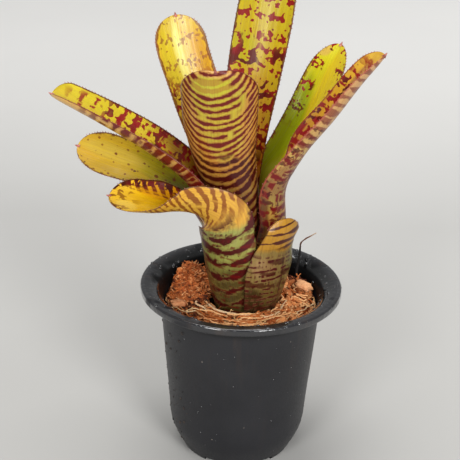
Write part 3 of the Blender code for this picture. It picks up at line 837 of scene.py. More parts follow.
            # the darkening of the ground towards the foot is painted shade
            "ground": ((8, (70, 52, 26)), (26, (112, 92, 48)), (40, (150, 146, 84)), (58, (150, 146, 86)),
                       (61, (208, 152, 66)), (92, (218, 168, 68)), (112, (226, 172, 92))),
            "wander": 7.0,
            "patches": ((-16, 54, 5, 14, (112, 62, 46), 0.85), (14, 84, 5, 14, (222, 160, 60), 0.6),
                        # the next two patches, dark brown near the foot, are painted shade
                        (14, 24, 14, 14, (66, 50, 30), 0.7), (-12, 22, 7, 18, (72, 44, 26), 0.7)),
            "bands": (
                {"spacing": 8.2, "fill": 0.34, "wobble": 5.0, "ragged": 1.2, "break": 0.22, "gap": 9.0,
                 "bow": -0.024,
                 "high": 62, "soft": 2.5, "halo": (120, 100, 60), "colour": (70, 10, 14)},
                {"spacing": 2.7, "fill": 0.46, "wobble": 4.0, "ragged": 1.2, "break": 0.36, "gap": 5.0,
                 "tilt": -0.35,
                 "low": 63, "high": 100, "soft": 3.0, "colour": (118, 50, 18), "strength": 0.85, "seed": 3.0},
                {"spacing": 3.4, "fill": 0.34, "wobble": 3.0, "ragged": 0.8, "break": 0.5, "gap": 5.0,
                 "high": 60,
                 "seed": 8.0, "strength": 0.75},
            ),
            "dots": ({"spacing": 2.6, "size": 0.5, "share": 0.5, "high": 60, "colour": (56, 26, 18),
                      "second": (84, 30, 24)},),
            "margin": {"inset": 0.965, "colour": (84, 44, 28), "strength": 0.85, "low": 62},
            "lineStrength": 0.8,
        },
    },
    "leaf_stub": {
        "upper": {
            "ground": ((20, (120, 92, 44)), (40, (196, 156, 60)), (60, (206, 166, 76))),
            "bands": ({"spacing": 6.0, "fill": 0.4, "gap": 6.0},),
            "margin": {"inset": 0.95},
        },
        "under": {
            "tone": (0.56, 0.50, 0.42),
            # the darkening of the ground towards the foot is painted shade
            "ground": ((8, (70, 54, 30)), (20, (124, 108, 54)), (34, (160, 140, 88)), (46, (168, 148, 90)),
                       (49, (206, 158, 52)), (60, (216, 166, 60))),
            "wander": 5.0,
            "patches": ((13, 30, 8, 24, (150, 148, 76), 0.85), (3.2, 27, 0.55, 20, (66, 40, 26), 0.9),
                        # the second patch on the next line, very dark on the left near the foot, is painted
                        # shade
                        (-9, 38, 6, 7, (190, 152, 116), 0.5), (-14, 16, 8, 12, (58, 42, 24), 0.8)),
            "bands": (
                {"spacing": 4.3, "fill": 0.34, "wobble": 2.0, "ragged": 0.5, "break": 0.18, "gap": 14.0,
                 "tilt": -0.30,
                 "low": 49, "soft": 2.0, "colour": (84, 24, 14)},
                {"spacing": 2.9, "fill": 0.36, "wobble": 5.0, "ragged": 1.3, "break": 0.46, "gap": 2.4,
                 "high": 45,
                 "soft": 2.0, "seed": 5.0, "colour": (92, 24, 26), "halo": (150, 112, 84)},
                {"spacing": 7.5, "fill": 0.30, "wobble": 3.0, "ragged": 0.8, "break": 0.42, "gap": 7.0,
                 "tilt": 0.2,
                 "high": 46, "soft": 2.0, "seed": 9.0, "colour": (80, 26, 20), "strength": 0.8},
            ),
            "dots": ({"spacing": 2.2, "size": 0.42, "share": 0.5, "high": 40, "colour": (70, 28, 22)},),
            "margin": {"inset": 0.965, "colour": (92, 60, 40), "low": 48},
            "lineStrength": 0.8,
        },
    },
}


def leafMaterial(name, look, seed):
    material, tree, shader = newMaterial(name)
    blade = put(tree, "ShaderNodeAttribute", None, attribute_name="bladeMm").outputs["Vector"]
    share = put(tree, "ShaderNodeAttribute", None, attribute_name="bladeShare").outputs["Vector"]
    spot = split(blade)
    across, along = spot[0], spot[1]
    edge = calc("ABSOLUTE", split(share)[0])
    fibre = fillGroup(tree, fibreGroup, {"Blade": blade, "Line Width": look.get("lineWidth", 0.6),
        "Seed": seed})
    lines, clouds = fibre.outputs["Lines"], fibre.outputs["Clouds"]
    # ground colour along the leaf, its steps blurred by slow clouds
    wander = (clouds - 0.5) * look.get("wander", 22.0)
    height = along + wander
    colour = None
    last = None
    for place, shade in look["ground"]:
        tone = colourFrom(*shade)
        if colour is None:
            colour = tone
        else:
            colour = mixColour(ramp(height, last, place), colour, tone)
        last = place
    # patches: soft spots of the leaf's own tones, and on some leaves painted highlights and painted shade
    for centreX, centreY, reachX, reachY, shade, strength in look.get("patches", ()):
        gapX = (across - centreX) / reachX
        gapY = (along - centreY) / reachY
        far = calc("SQRT", gapX * gapX + gapY * gapY)
        far = far + (clouds - 0.5) * 0.7
        colour = mixColour(ramp(far, 1.15, 0.7, 0.0, strength), colour, colourFrom(*shade))
    deep = mixColour(1.0, colour, colourFrom(*look.get("lineTint", (196, 176, 140))), "MULTIPLY")
    colour = mixColour(ramp(lines, 0.35, 0.75, 0.0, look.get("lineStrength", 0.45)), colour, deep)
    pale = mixColour(1.0, colour, colourFrom(150, 142, 120), "SCREEN")
    colour = mixColour(ramp(clouds, 0.5, 0.8, 0.0, look.get("paleStrength", 0.12)), colour, pale)
    marks = None
    for band in look.get("bands", ()):
        plugs = {"Blade": blade, "Spacing": band["spacing"], "Fill": band["fill"],
                 "Wobble": band.get("wobble", 3.0), "Ragged": band.get("ragged", 0.6),
                 "Break": band.get("break", 0.35), "Bow": band.get("bow", 0.0),
                 "Tilt": band.get("tilt", 0.0), "Gap Width": band.get("gap", 6.0),
                 "Seed": seed + band.get("seed", 0.0)}
        mask = fillGroup(tree, bandsGroup, plugs).outputs["Mask"]
        low, high, soft = band.get("low", -50.0), band.get("high", 500.0), band.get("soft", 8.0)
        window = ramp(height, low - soft, low + soft) * ramp(height, high - soft, high + soft, 1.0, 0.0)
        mask = mask * window
        for centreX, centreY, reachX, reachY in band.get("clear", ()):
            gapX = (across - centreX) / reachX
            gapY = (along - centreY) / reachY
            far = calc("SQRT", gapX * gapX + gapY * gapY)
            mask = mask * ramp(far + (lines - 0.5) * 0.5, 0.85, 1.1)
        mask = mask * band.get("strength", 0.985)
        halo = band.get("halo")
        if halo:
            around = fillGroup(tree, bandsGroup, {**plugs, "Fill": band["fill"] + 0.28}).outputs["Mask"]
            around = around * window * 0.55
            colour = mixColour(around, colour, colourFrom(*halo))
        colour = mixColour(mask, colour, colourFrom(*band.get("colour", maroon)))
        marks = mask if marks is None else calc("MAXIMUM", marks, mask)
    # blotches are the leaf's own marks, apart from the dark inner blotch of leaf_left_upper, which is painted
    # shade
    for blotch in look.get("blotches", ()):
        made = fillGroup(tree, blotchGroup, {"Blade": blade, "Width": blotch["width"],
            "Length": blotch["length"], "Amount": blotch["amount"], "Row Step": blotch.get("rowStep", 12.0),
            "Rows": blotch.get("rows", 0.3), "Seed": seed + blotch.get("seed", 0.0)})
        low, high, soft = blotch.get("low", -50.0), blotch.get("high", 500.0), blotch.get("soft", 8.0)
        window = ramp(along, low - soft, low + soft) * ramp(along, high - soft, high + soft, 1.0, 0.0)
        inner, outer = blotch.get("edge", (0.0, 2.0))
        window = window * ramp(edge, inner - 0.08, inner + 0.08)
        window = window * ramp(edge, outer - 0.08, outer + 0.08, 1.0, 0.0)
        mask = made.outputs["Mask"] * (window * blotch.get("strength", 0.985))
        first = colourFrom(*blotch.get("colour", crimson))
        second = colourFrom(*blotch.get("second", maroon))
        tone = mixColour(ramp(made.outputs["Tone"], 0.4, 0.6), first, second)
        colour = mixColour(mask, colour, tone)
        marks = mask if marks is None else calc("MAXIMUM", marks, mask)
    for dots in look.get("dots", ()):
        made = fillGroup(tree, dotsGroup, {
            "Vector": blade, "Spacing": dots["spacing"], "Size": dots["size"], "Share": dots["share"],
            "Seed": seed + dots.get("seed", 0.0)})
        low, high, soft = dots.get("low", -50.0), dots.get("high", 500.0), 8.0
        window = ramp(along, low - soft, low + soft) * ramp(along, high - soft, high + soft, 1.0, 0.0)
        mask = made.outputs["Mask"] * (window * dots.get("strength", 0.95))
        tone = mixColour(made.outputs["Tone"], colourFrom(*dots.get("colour", (128, 44, 24))),
            colourFrom(*dots.get("second", (92, 34, 22))))
        colour = mixColour(mask, colour, tone)
        marks = mask if marks is None else calc("MAXIMUM", marks, mask)
    # darker, spotted margins
    margin = look.get("margin")
    if margin:
        ragged = grain(combine(0.0, along * margin.get("rate", 0.35), seed + 3.0), 2.0)
        width = margin["inset"] + (ragged - 0.5) * margin.get("ragged", 0.08)
        rim = ramp(edge - width, -0.012, 0.012)
        low, high = margin.get("low", -50.0), margin.get("high", 500.0)
        window = ramp(along, low - 8.0, low + 8.0) * ramp(along, high - 8.0, high + 8.0, 1.0, 0.0)
        rim = rim * window * margin.get("strength", 0.7)
        colour = mixColour(rim, colour, colourFrom(*margin.get("colour", (96, 30, 24))))
    colour = colour * look.get("tone", (1.0, 1.0, 0.85))
    plug(tree, shader.inputs["Base Color"], colour)
    rough = ramp(lines, 0.25, 0.8, look.get("gloss", 0.3) - 0.08, look.get("gloss", 0.3) + 0.08)
    if marks is not None:
        rough = rough + marks * 0.05
    plug(tree, shader.inputs["Roughness"], rough)
    shader.inputs["Specular IOR Level"].default_value = look.get("specular", 0.32)
    relief = lines * 0.7 + fibre.outputs["Pores"] * 0.25
    bumpFrom(tree, shader, relief, look.get("bump", 0.35), 0.00022)
    return material


def spineMaterial():
    material, tree, shader = newMaterial("leafSpine")
    where = put(tree, "ShaderNodeTexCoord").outputs["Object"]
    cloud = grain(where, 2.0, scale=420.0)
    plug(tree, shader.inputs["Base Color"], mixColour(ramp(cloud, 0.35, 0.65), colourFrom(112, 52, 44),
        colourFrom(176, 104, 92)))
    plug(tree, shader.inputs["Roughness"], ramp(cloud, 0.3, 0.7, 0.35, 0.55))
    return material


def buildLeaves():
    tree = makeBladeTree()
    spine = spineMaterial()
    for number, (name, leaf) in enumerate(leaves.items()):
        look = leafLooks[name]
        upper = leafMaterial(name + "Upper", look["upper"], 3.1 * number + 1.7)
        under = leafMaterial(name + "Under", look["under"], 3.1 * number + 12.9)
        item = leafRail(name + "Blade", leaf)
        runTree(item, tree, {
            "Rows": nest["rows"], "Columns": nest["columns"], "Thickness": nest["thickness"] * mm,
            "Ripple": nest["ripple"] * mm, "Seed": 4.0 * number + 0.5, "Spine Step": nest["spineStep"],
            "Spine From": nest["spineFrom"],
            "Spine Size": nest["spineSize"] * mm,
            "Tip Spine": (nest["tipSpine"] if leaf["tip"] and name != "leaf_stub" else 0.03) * mm,
            "Upper": upper, "Under": under, "Spine": spine,
        })
        placePiece(item, "leaf", name)
        used = sorted({p.material_index for p in item.data.polygons})
        print("leaf", name, len(item.data.polygons), "faces", used, [m.name for m in item.data.materials])


buildLeaves()


# pot: a turned shell with a trumpet rim, in millimetres

potSizes = {
    "rimRadius": 52.5, "height": 95.5, "baseRadius": 28.5, "wall": 1.3, "lipDrop": 3.0, "lipWidth": 2.2,
    "throatRadius": 41.9, "throatHeight": 85.5, "turns": 176,
    "slots": 6, "slotTurn": 3.0, "slotLength": 12.0, "slotWidth": 7.0, "slotHeight": 2.6,
    "specular": 0.35, "shadedInsideSpecular": 0.1, "insideReach": 51.2,
}
# inside: near black, painted shade for the inner side of the flange
potColours = {"dark": (24, 24, 27), "light": (31, 31, 34), "inside": (5, 5, 5), "dust": (52, 42, 36),
    "speck": (150, 140, 130)}


def potOuterRadius(z):
    heights = (1.2, 4.3, 9.2, 12.0, 15.0, 19.0, 23.5, 38.5, 58.5, potSizes["throatHeight"])
    radii = (30.0, 31.6, 34.0, 35.1, 36.0, 36.6, 36.9, 38.0, 39.8, potSizes["throatRadius"])
    return float(np.interp(z, heights, radii))


def arcPoints(centreR, centreZ, radius, start, end, steps):
    angles = np.radians(np.linspace(start, end, steps + 1))
    return [(centreR + radius * math.cos(a), centreZ + radius * math.sin(a)) for a in angles]


def potOutline():
    wall, height = potSizes["wall"], potSizes["height"]
    throat, throatZ = potSizes["throatRadius"], potSizes["throatHeight"]
    flareWidth = potSizes["rimRadius"] - potSizes["lipWidth"] - throat
    flareRise = height - wall - throatZ
    body = [12.0, 13.5, 15.0, 17.0, 19.0, 21.0] + list(np.linspace(23.5, 81, 16)) + [throatZ]
    inner = ([(0.0, wall), (potSizes["baseRadius"] - wall, wall)]
        + [(potOuterRadius(z) - wall, z) for z in body])
    innerFlare, outerFlare = [], []
    for turn in np.radians(np.linspace(0, 90, 15)[1:]):
        r = throat + flareWidth * (1 - math.cos(turn))
        z = throatZ + flareRise * math.sin(turn)
        outerFlare.append((r, z))
        innerFlare.append((r - wall * math.cos(turn), z + wall * math.sin(turn)))
    lipRadius = potSizes["lipWidth"] / 2
    lipCentre = potSizes["rimRadius"] - lipRadius
    lip = arcPoints(lipCentre, height - lipRadius, lipRadius, 90, 0, 8)
    lip += arcPoints(lipCentre, height - potSizes["lipDrop"], lipRadius, 0, -90, 8)
    lip.append((potSizes["rimRadius"] - potSizes["lipWidth"], height - potSizes["lipDrop"]))
    outer = outerFlare[::-1] + [(potOuterRadius(z), z) for z in body[::-1]]
    foot = ([(potOuterRadius(z), z) for z in (9.2, 6.5, 4.3, 2.8)]
        + arcPoints(28.5, 1.6, 1.6, 0, -90, 5)[1:] + [(0.0, 0.0)])
    return inner + innerFlare + lip + outer + foot


def potMaterial(name, specular):
    material, tree, shader = newMaterial(name)
    where = put(tree, "ShaderNodeTexCoord").outputs["Object"]
    part = split(where)
    height = part[2]
    cloud = grain(where, 3.0, 0.55, scale=26.0)
    fine = grain(where, 3.0, 0.6, scale=900.0)
    colour = mixColour(ramp(cloud, 0.3, 0.7), colourFrom(*potColours["dark"]),
        colourFrom(*potColours["light"]))
    # soil dust gathers on the flange and in a few runs down the wall
    streak = grain(where * (160.0, 160.0, 14.0), 3.0, 0.6)
    dustHeight = ramp(height, 0.045, 0.09)
    dust = ramp(streak, 0.52, 0.72) * (dustHeight * 0.35 + 0.06)
    colour = mixColour(dust, colour, colourFrom(*potColours["dust"]))
    specks = fillGroup(tree, dotsGroup, {"Vector": where * 1000.0, "Spacing": 5.5, "Size": 0.34,
        "Share": 0.16, "Seed": 2.0})
    colour = mixColour(specks.outputs["Mask"] * 0.75, colour, colourFrom(*potColours["speck"]))
    # painted shade: the inner side of the flange is darkened towards near black
    reach = vectorCalc("LENGTH", combine(part[0], part[1], 0.0))
    inner = ramp(reach, 0.0500, 0.0450) * ramp(height, 0.083, 0.087)
    colour = mixColour(inner * 0.9, colour, colourFrom(*potColours["inside"]))
    plug(tree, shader.inputs["Base Color"], colour)
    # water film along the lip and on the flange
    wet = ramp(height, 0.0915, 0.0930) * ramp(grain(where, 2.0, 0.5, scale=70.0), 0.32, 0.46)
    dry = ramp(fine, 0.3, 0.7, 0.40, 0.50)
    rough = dry * (1.0 - wet) + wet * 0.10
    plug(tree, shader.inputs["Roughness"], rough)
    plug(tree, shader.inputs["Coat Weight"], wet)
    shader.inputs["Coat Roughness"].default_value = 0.06
    shader.inputs["Specular IOR Level"].default_value = specular
    beads = grain(where, 2.0, 0.5, scale=420.0)
    relief = fine * 0.3 + beads * (wet * 4.0)
    bumpFrom(tree, shader, relief, 0.5, 0.00025)
    return material


def buildPot():
    profile = potOutline()
    mesh = bpy.data.meshes.new("nurseryPotShell")
    mesh.from_pydata([(r * mm, 0.0, z * mm) for r, z in profile],
        [(i, i + 1) for i in range(len(profile) - 1)], [])
    item = newObject("nurseryPotShell", mesh)
    screw = item.modifiers.new("turn", "SCREW")
    screw.steps = potSizes["turns"]
    screw.render_steps = potSizes["turns"]
    screw.use_merge_vertices = True
    screw.merge_threshold = 0.00001
    cutterMesh = bpy.data.meshes.new("drainSlots")
    work = bmesh.new()
    for index in range(potSizes["slots"]):
        turn = Matrix.Rotation(math.radians(potSizes["slotTurn"]) + math.tau * index / potSizes["slots"], 4,
            "Z")
        place = Matrix.Translation(((potSizes["baseRadius"] - 1.0) * mm, 0.0, 0.0))
        size = Matrix.Diagonal((potSizes["slotLength"] * mm, potSizes["slotWidth"] * mm,
            2 * potSizes["slotHeight"] * mm, 1.0))
        bmesh.ops.create_cube(work, size=1.0, matrix=turn @ place @ size)
    work.to_mesh(cutterMesh)
    work.free()
    cutter = newObject("drainSlots", cutterMesh)
    cut = item.modifiers.new("slots", "BOOLEAN")
    cut.operation = "DIFFERENCE"
    cut.solver = "EXACT"
    cut.object = cutter
    bpy.context.view_layer.update()
    finished = bpy.data.meshes.new_from_object(item.evaluated_get(bpy.context.evaluated_depsgraph_get()))
    item.modifiers.clear()
    item.data = finished
    bpy.data.objects.remove(cutter)
    finished.shade_smooth()
    finished.set_sharp_from_angle(angle=math.radians(38))
    finished.materials.clear()
    finished.materials.append(potMaterial("pottingPlastic", potSizes["specular"]))
    # a shaded copy of the plastic with less specular for the inside faces, as painted shade
    finished.materials.append(potMaterial("pottingPlasticShadedInside", potSizes["shadedInsideSpecular"]))
    for face in finished.polygons:
        outward = face.center.x * face.normal.x + face.center.y * face.normal.y
        if outward < 0 and math.hypot(face.center.x, face.center.y) < potSizes["insideReach"] * mm:
            face.material_index = 1
    placePiece(item, "pot", "nursery_pot")
    print("pot", len(finished.polygons), "faces")
    return item


def dropMaterial():
    material, tree, shader = newMaterial("waterDrop")
    where = put(tree, "ShaderNodeTexCoord").outputs["Object"]
    cloud = grain(where, 1.0, scale=300.0)
    plug(tree, shader.inputs["Base Color"], mixColour(ramp(cloud, 0.4, 0.6), colourFrom(24, 24, 26),
        colourFrom(40, 40, 42)))
    shader.inputs["Roughness"].default_value = 0.03
    shader.inputs["Coat Weight"].default_value = 1.0
    shader.inputs["Coat Roughness"].default_value = 0.02
    return material


def makeDropTree():
    # beads of water on the flange and the lip
    tree, given, wanted = newGroup("waterDrops", "GeometryNodeTree",
        [("Geometry", "Geometry", None), ("Density", "Float", 30000.0), ("Smallest", "Float", 0.0003),
        ("Largest", "Float", 0.0009), ("Lowest", "Float", 0.0875), ("Highest", "Float", 1.0),
        ("Least Up", "Float", 0.05), ("Furthest Right", "Float", 1.0), ("Jagged", "Float", 0.0),
        ("Seed", "Int", 0), ("Material", "Material", None)], [("Geometry", "Geometry")])
    spot = split(put(tree, "GeometryNodeInputPosition"))
    facing = split(put(tree, "GeometryNodeInputNormal"))
    flat = combine(spot[0], spot[1], 0.0)
    aside = combine(facing[0], facing[1], 0.0)
    outside = calc("GREATER_THAN", vectorCalc("DOT_PRODUCT", flat, aside), -0.01)
    chosen = (calc("GREATER_THAN", spot[2], given["Lowest"])
        * calc("GREATER_THAN", facing[2], given["Least Up"]))
    chosen = chosen * calc("LESS_THAN", spot[2], given["Highest"])
    chosen = chosen * calc("LESS_THAN", spot[0], given["Furthest Right"])
    low = calc("LESS_THAN", spot[2], 0.084)
    chosen = chosen * calc("MAXIMUM", outside, 1.0 - low)
    points = put(tree, "GeometryNodeDistributePointsOnFaces", {
        "Mesh": given["Geometry"], "Density": given["Density"],
        "Seed": given["Seed"], "Selection": chosen})
    bead = put(tree, "GeometryNodeMeshIcoSphere", {"Radius": 1.0, "Subdivisions": 2})
    low = put(tree, "GeometryNodeTransform", {"Geometry": bead, "Scale": (1.0, 1.0, 0.5)})
    chance = put(tree, "FunctionNodeRandomValue", {"Min": 0.0, "Max": 1.0, "Seed": 3}, data_type="FLOAT")
    size = ramp(calc("POWER", outlet(chance), 3.0), 0.0, 1.0, given["Smallest"],
        given["Largest"], smooth=False)
    beads = put(tree, "GeometryNodeInstanceOnPoints", {
        "Points": points, "Instance": low, "Rotation": outlet(points, "Rotation"), "Scale": size})
    real = put(tree, "GeometryNodeRealizeInstances", {"Geometry": beads})
    jag = put(tree, "ShaderNodeTexNoise", {
        "Vector": put(tree, "GeometryNodeInputPosition"), "Scale": 1300.0, "Detail": 1.0})
    push = (outlet(jag, "Color") - (0.5, 0.5, 0.5)) * given["Jagged"]
    real = put(tree, "GeometryNodeSetPosition", {"Geometry": real, "Offset": push})
    smooth = put(tree, "GeometryNodeSetShadeSmooth", {"Geometry": real})
    done = put(tree, "GeometryNodeSetMaterial", {"Geometry": smooth, "Material": given["Material"]})
    tree.links.new(outlet(done), wanted["Geometry"])
    return tree


def gritMaterial():
    material, tree, shader = newMaterial("wallGrit")
    where = put(tree, "ShaderNodeTexCoord").outputs["Object"]
    cloud = grain(where, 3.0, scale=500.0)
    plug(tree, shader.inputs["Base Color"], mixColour(ramp(cloud, 0.35, 0.65), colourFrom(16, 14, 14),
        colourFrom(58, 46, 38)))
    shader.inputs["Roughness"].default_value = 0.7
    return material


potBeads = {
    "rimDroplets": {"Density": 42000.0, "Smallest": 0.00022, "Largest": 0.0011, "Seed": 5},
    "wallDroplets": {"Density": 9000.0, "Smallest": 0.00016, "Largest": 0.0005, "Lowest": 0.006,
                     "Highest": 0.082,
                     "Least Up": -0.5, "Seed": 6},
    "wallGrit": {"Density": 30000.0, "Smallest": 0.0002, "Largest": 0.0010, "Lowest": 0.006, "Highest": 0.078,
                 "Least Up": -0.5, "Furthest Right": -0.027, "Jagged": 0.0009, "Seed": 7},
}


def buildBeads(base):
    tree = makeDropTree()
    water, grit = dropMaterial(), gritMaterial()
    for label, sizes in potBeads.items():
        item = newObject(label, base.data.copy())
        runTree(item, tree, {"Material": grit if label == "wallGrit" else water, **sizes})
        placePiece(item, "pot")
        print("beads", label, len(item.data.polygons), "faces")


potShell = buildPot()
buildBeads(potShell)


# coir mix: a lumpy body with fibre, husk chips and crumbs on it

mixSizes = {
    "top": 82.5, "crownRise": 1.5, "wellRadius": 19.4, "wellFloor": 69.5,
    "mounds": ((-28.0, 21.0, 10.5, 10.0), (33.0, 17.0, 10.0, 5.0), (9.0, 35.0, 9.0, 3.0)),
    "around": 220, "lump": 1.5, "lumpScale": 0.16, "grit": 0.5,
}


def mixHeight(x, y):
    # the surface of the mix, in millimetres
    distance = math.hypot(x, y)
    height = (mixSizes["top"] + mixSizes["crownRise"] * max(0.0,
        1 - (distance / potSizes["throatRadius"]) ** 2))
    for centreX, centreY, radius, rise in mixSizes["mounds"]:
        reach = math.hypot(x - centreX, y - centreY) / radius
        height += rise * math.exp(-reach * reach)
    return height


def mixLump(x, y):
    spot = Vector((x, y, 3.0)) * mixSizes["lumpScale"]
    slow = noise.fractal(spot, 0.8, 2.1, 4)
    fine = noise.fractal(spot * 5.0, 0.7, 2.0, 3)
    return mixSizes["lump"] * slow + mixSizes["grit"] * fine


def buildMixBody():
    around = mixSizes["around"]
    wallGap = potSizes["wall"] + 0.3
    topRadius = potOuterRadius(mixSizes["top"]) - wallGap - 0.3
    firstRing = mixSizes["wellRadius"] + 0.4
    rings = [("well", r, mixSizes["wellFloor"]) for r in np.linspace(1.0, mixSizes["wellRadius"], 8)]
    rings += [("well", mixSizes["wellRadius"], z) for z in np.linspace(mixSizes["wellFloor"] + 2,
        mixSizes["top"] - 2, 6)]
    rings += [("top", r, None) for r in np.linspace(firstRing, topRadius, 44)]
    rings += [("wall", potOuterRadius(z) - wallGap, z) for z in (79.5, 73.5, 58.5, 38.5, 23.5, 15.0)]
    rings += [("wall", potSizes["baseRadius"] - potSizes["wall"] - 1.0, potSizes["wall"] + 0.4),
        ("wall", 1.0, potSizes["wall"] + 0.4)]
    vertices = []
    for kind, radius, z in rings:
        # the well follows the plant's axis, the wall follows the pot's
        lean = 1.0 if kind == "well" else 0.0
        if kind == "top":
            lean = 1.0 - (radius - firstRing) / (topRadius - firstRing)
        for step in range(around):
            angle = math.tau * step / around
            x = radius * math.cos(angle) + nest["axisX"] * lean
            y = radius * math.sin(angle) + nest["axisY"] * lean
            height = z if z is not None else mixHeight(x, y) + mixLump(x, y)
            vertices.append((x * mm, y * mm, height * mm))
    faces = []
    for ring in range(len(rings) - 1):
        for step in range(around):
            a = ring * around + step
            b = ring * around + (step + 1) % around
            faces.append((a, b + 0, b + around, a + around))
    faces.append(tuple(range(around))[::-1])
    last = (len(rings) - 1) * around
    faces.append(tuple(range(last, last + around)))
    mesh = bpy.data.meshes.new("coirMixBody")
    mesh.from_pydata(vertices, [], faces)
    work = bmesh.new()
    work.from_mesh(mesh)
    bmesh.ops.triangulate(work, faces=[f for f in work.faces if len(f.verts) > 4])
    bmesh.ops.recalc_face_normals(work, faces=work.faces)
    work.to_mesh(mesh)
    work.free()
    mesh.shade_smooth()
    # the mound on the left is rusty, the rest lies in shade between its fibres
    tints = []
    for vertex in mesh.vertices:
        x, y = vertex.co.x / mm, vertex.co.y / mm
        reach = math.hypot(x + 29.0, y - 17.0) / 14.0
        tints.append(0.12 + 0.55 * math.exp(-reach * reach) + 0.2 * noise.noise(Vector((x, y, 0.0)) * 0.35))
    field = mesh.attributes.new("tint", "FLOAT", "POINT")
    field.data.foreach_set("value", np.array(tints, np.float32))
    item = newObject("coirMixBody", mesh)
    mesh.materials.append(coirMaterial("coirGround", mixTones["ground"]))
    placePiece(item, "mix", "coir_mix")
    return item


mixTones = {
    "ground": ((20, 8, 4), (84, 38, 14), (140, 70, 30)),
    "crumb": ((52, 19, 6), (152, 74, 28), (208, 136, 80)),
    "fibre": ((84, 34, 12), (184, 100, 44), (232, 180, 124)),
    "thread": ((140, 90, 46), (206, 160, 104), (236, 210, 164)),
}


def coirMaterial(name, tones):
    # colour comes from the piece's own tint attribute, broken up by grain
    material, tree, shader = newMaterial(name)
    where = put(tree, "ShaderNodeTexCoord").outputs["Object"]
    tint = put(tree, "ShaderNodeAttribute", None, attribute_name="tint").outputs["Fac"]
    fine = grain(where, 4.0, 0.65, scale=900.0)
    cloud = grain(where, 3.0, 0.6, scale=150.0)
    level = tint + (fine * 0.5 + cloud * 0.5 - 0.5) * 1.1
    colour = mixColour(ramp(level, 0.0, 0.5), colourFrom(*tones[0]), colourFrom(*tones[1]))
    colour = mixColour(ramp(level, 0.5, 1.0), colour, colourFrom(*tones[2]))
    plug(tree, shader.inputs["Base Color"], colour)
    plug(tree, shader.inputs["Roughness"], ramp(fine, 0.3, 0.7, 0.78, 0.95))
    shader.inputs["Specular IOR Level"].default_value = 0.3
    bumpFrom(tree, shader, fine, 0.5, 0.0004)
    return material


mixBody = buildMixBody()


def scatterPoints(tree, rail, density, seed, selection=None):
    return put(tree, "GeometryNodeDistributePointsOnFaces", {
        "Mesh": rail, "Density": density, "Seed": seed, "Selection": selection})


def topSelection(tree, centre, reach, lowest=0.078, steep=0.25, widest=0.0385):
    # faces of the open surface only, clear of the pot's wall and inside one patch
    place = put(tree, "GeometryNodeInputPosition")
    spot = split(place)
    facing = split(put(tree, "GeometryNodeInputNormal"))
    flat = combine(spot[0], spot[1], 0.0)
    tests = [calc("GREATER_THAN", spot[2], lowest), calc("GREATER_THAN", facing[2], steep),
        calc("LESS_THAN", vectorCalc("LENGTH", flat), widest),
        calc("LESS_THAN", vectorCalc("LENGTH", flat - centre), reach)]
    result = tests[0]
    for test in tests[1:]:
        result = result * test
    return result


def makeCrumbTree():
    tree, given, wanted = newGroup("coirCrumbs", "GeometryNodeTree", [
        ("Geometry", "Geometry", None), ("Density", "Float", 300000.0), ("Smallest", "Float", 0.0004),
        ("Largest", "Float", 0.0016), ("Jagged", "Float", 0.0013), ("Centre", "Vector", None),
        ("Reach", "Float", 1.0), ("Darkest", "Float", 0.05), ("Lightest", "Float", 1.0), ("Seed", "Int", 0),
        ("Material", "Material", None),
    ], [("Geometry", "Geometry")])
    points = scatterPoints(tree, given["Geometry"], given["Density"],
        given["Seed"], topSelection(tree, given["Centre"], given["Reach"]))
    shape = put(tree, "GeometryNodeMeshIcoSphere", {"Radius": 1.0, "Subdivisions": 2})
    size = put(tree, "FunctionNodeRandomValue", {
        "Min": given["Smallest"], "Max": given["Largest"], "Seed": 3}, data_type="FLOAT")
    stretch = put(tree, "FunctionNodeRandomValue", {
        "Min": (0.7, 0.6, 0.35), "Max": (1.9, 1.1, 0.8), "Seed": 5}, data_type="FLOAT_VECTOR")
    turn = put(tree, "FunctionNodeRandomValue", {
        "Min": (-0.7, -0.7, 0.0), "Max": (0.7, 0.7, math.tau), "Seed": 8}, data_type="FLOAT_VECTOR")
    put1 = put(tree, "GeometryNodeInstanceOnPoints", {"Points": points, "Instance": shape,
        "Rotation": put(tree, "FunctionNodeEulerToRotation", {"Euler": turn}), "Scale": stretch * size})
    tint = put(tree, "FunctionNodeRandomValue", {
        "Min": given["Darkest"], "Max": given["Lightest"], "Seed": 11}, data_type="FLOAT")
    stored = put(tree, "GeometryNodeStoreNamedAttribute", {
        "Geometry": put1, "Name": "tint", "Value": tint}, data_type="FLOAT", domain="INSTANCE")
    real = put(tree, "GeometryNodeRealizeInstances", {"Geometry": stored})
    spot = put(tree, "GeometryNodeInputPosition")
    jag = put(tree, "ShaderNodeTexNoise", {"Vector": spot, "Scale": 900.0, "Detail": 2.0})
    push = (outlet(jag, "Color") - (0.5, 0.5, 0.5)) * given["Jagged"]
    moved = put(tree, "GeometryNodeSetPosition", {"Geometry": real, "Offset": push})
    done = put(tree, "GeometryNodeSetMaterial", {"Geometry": moved, "Material": given["Material"]})
    tree.links.new(outlet(done), wanted["Geometry"])
    return tree


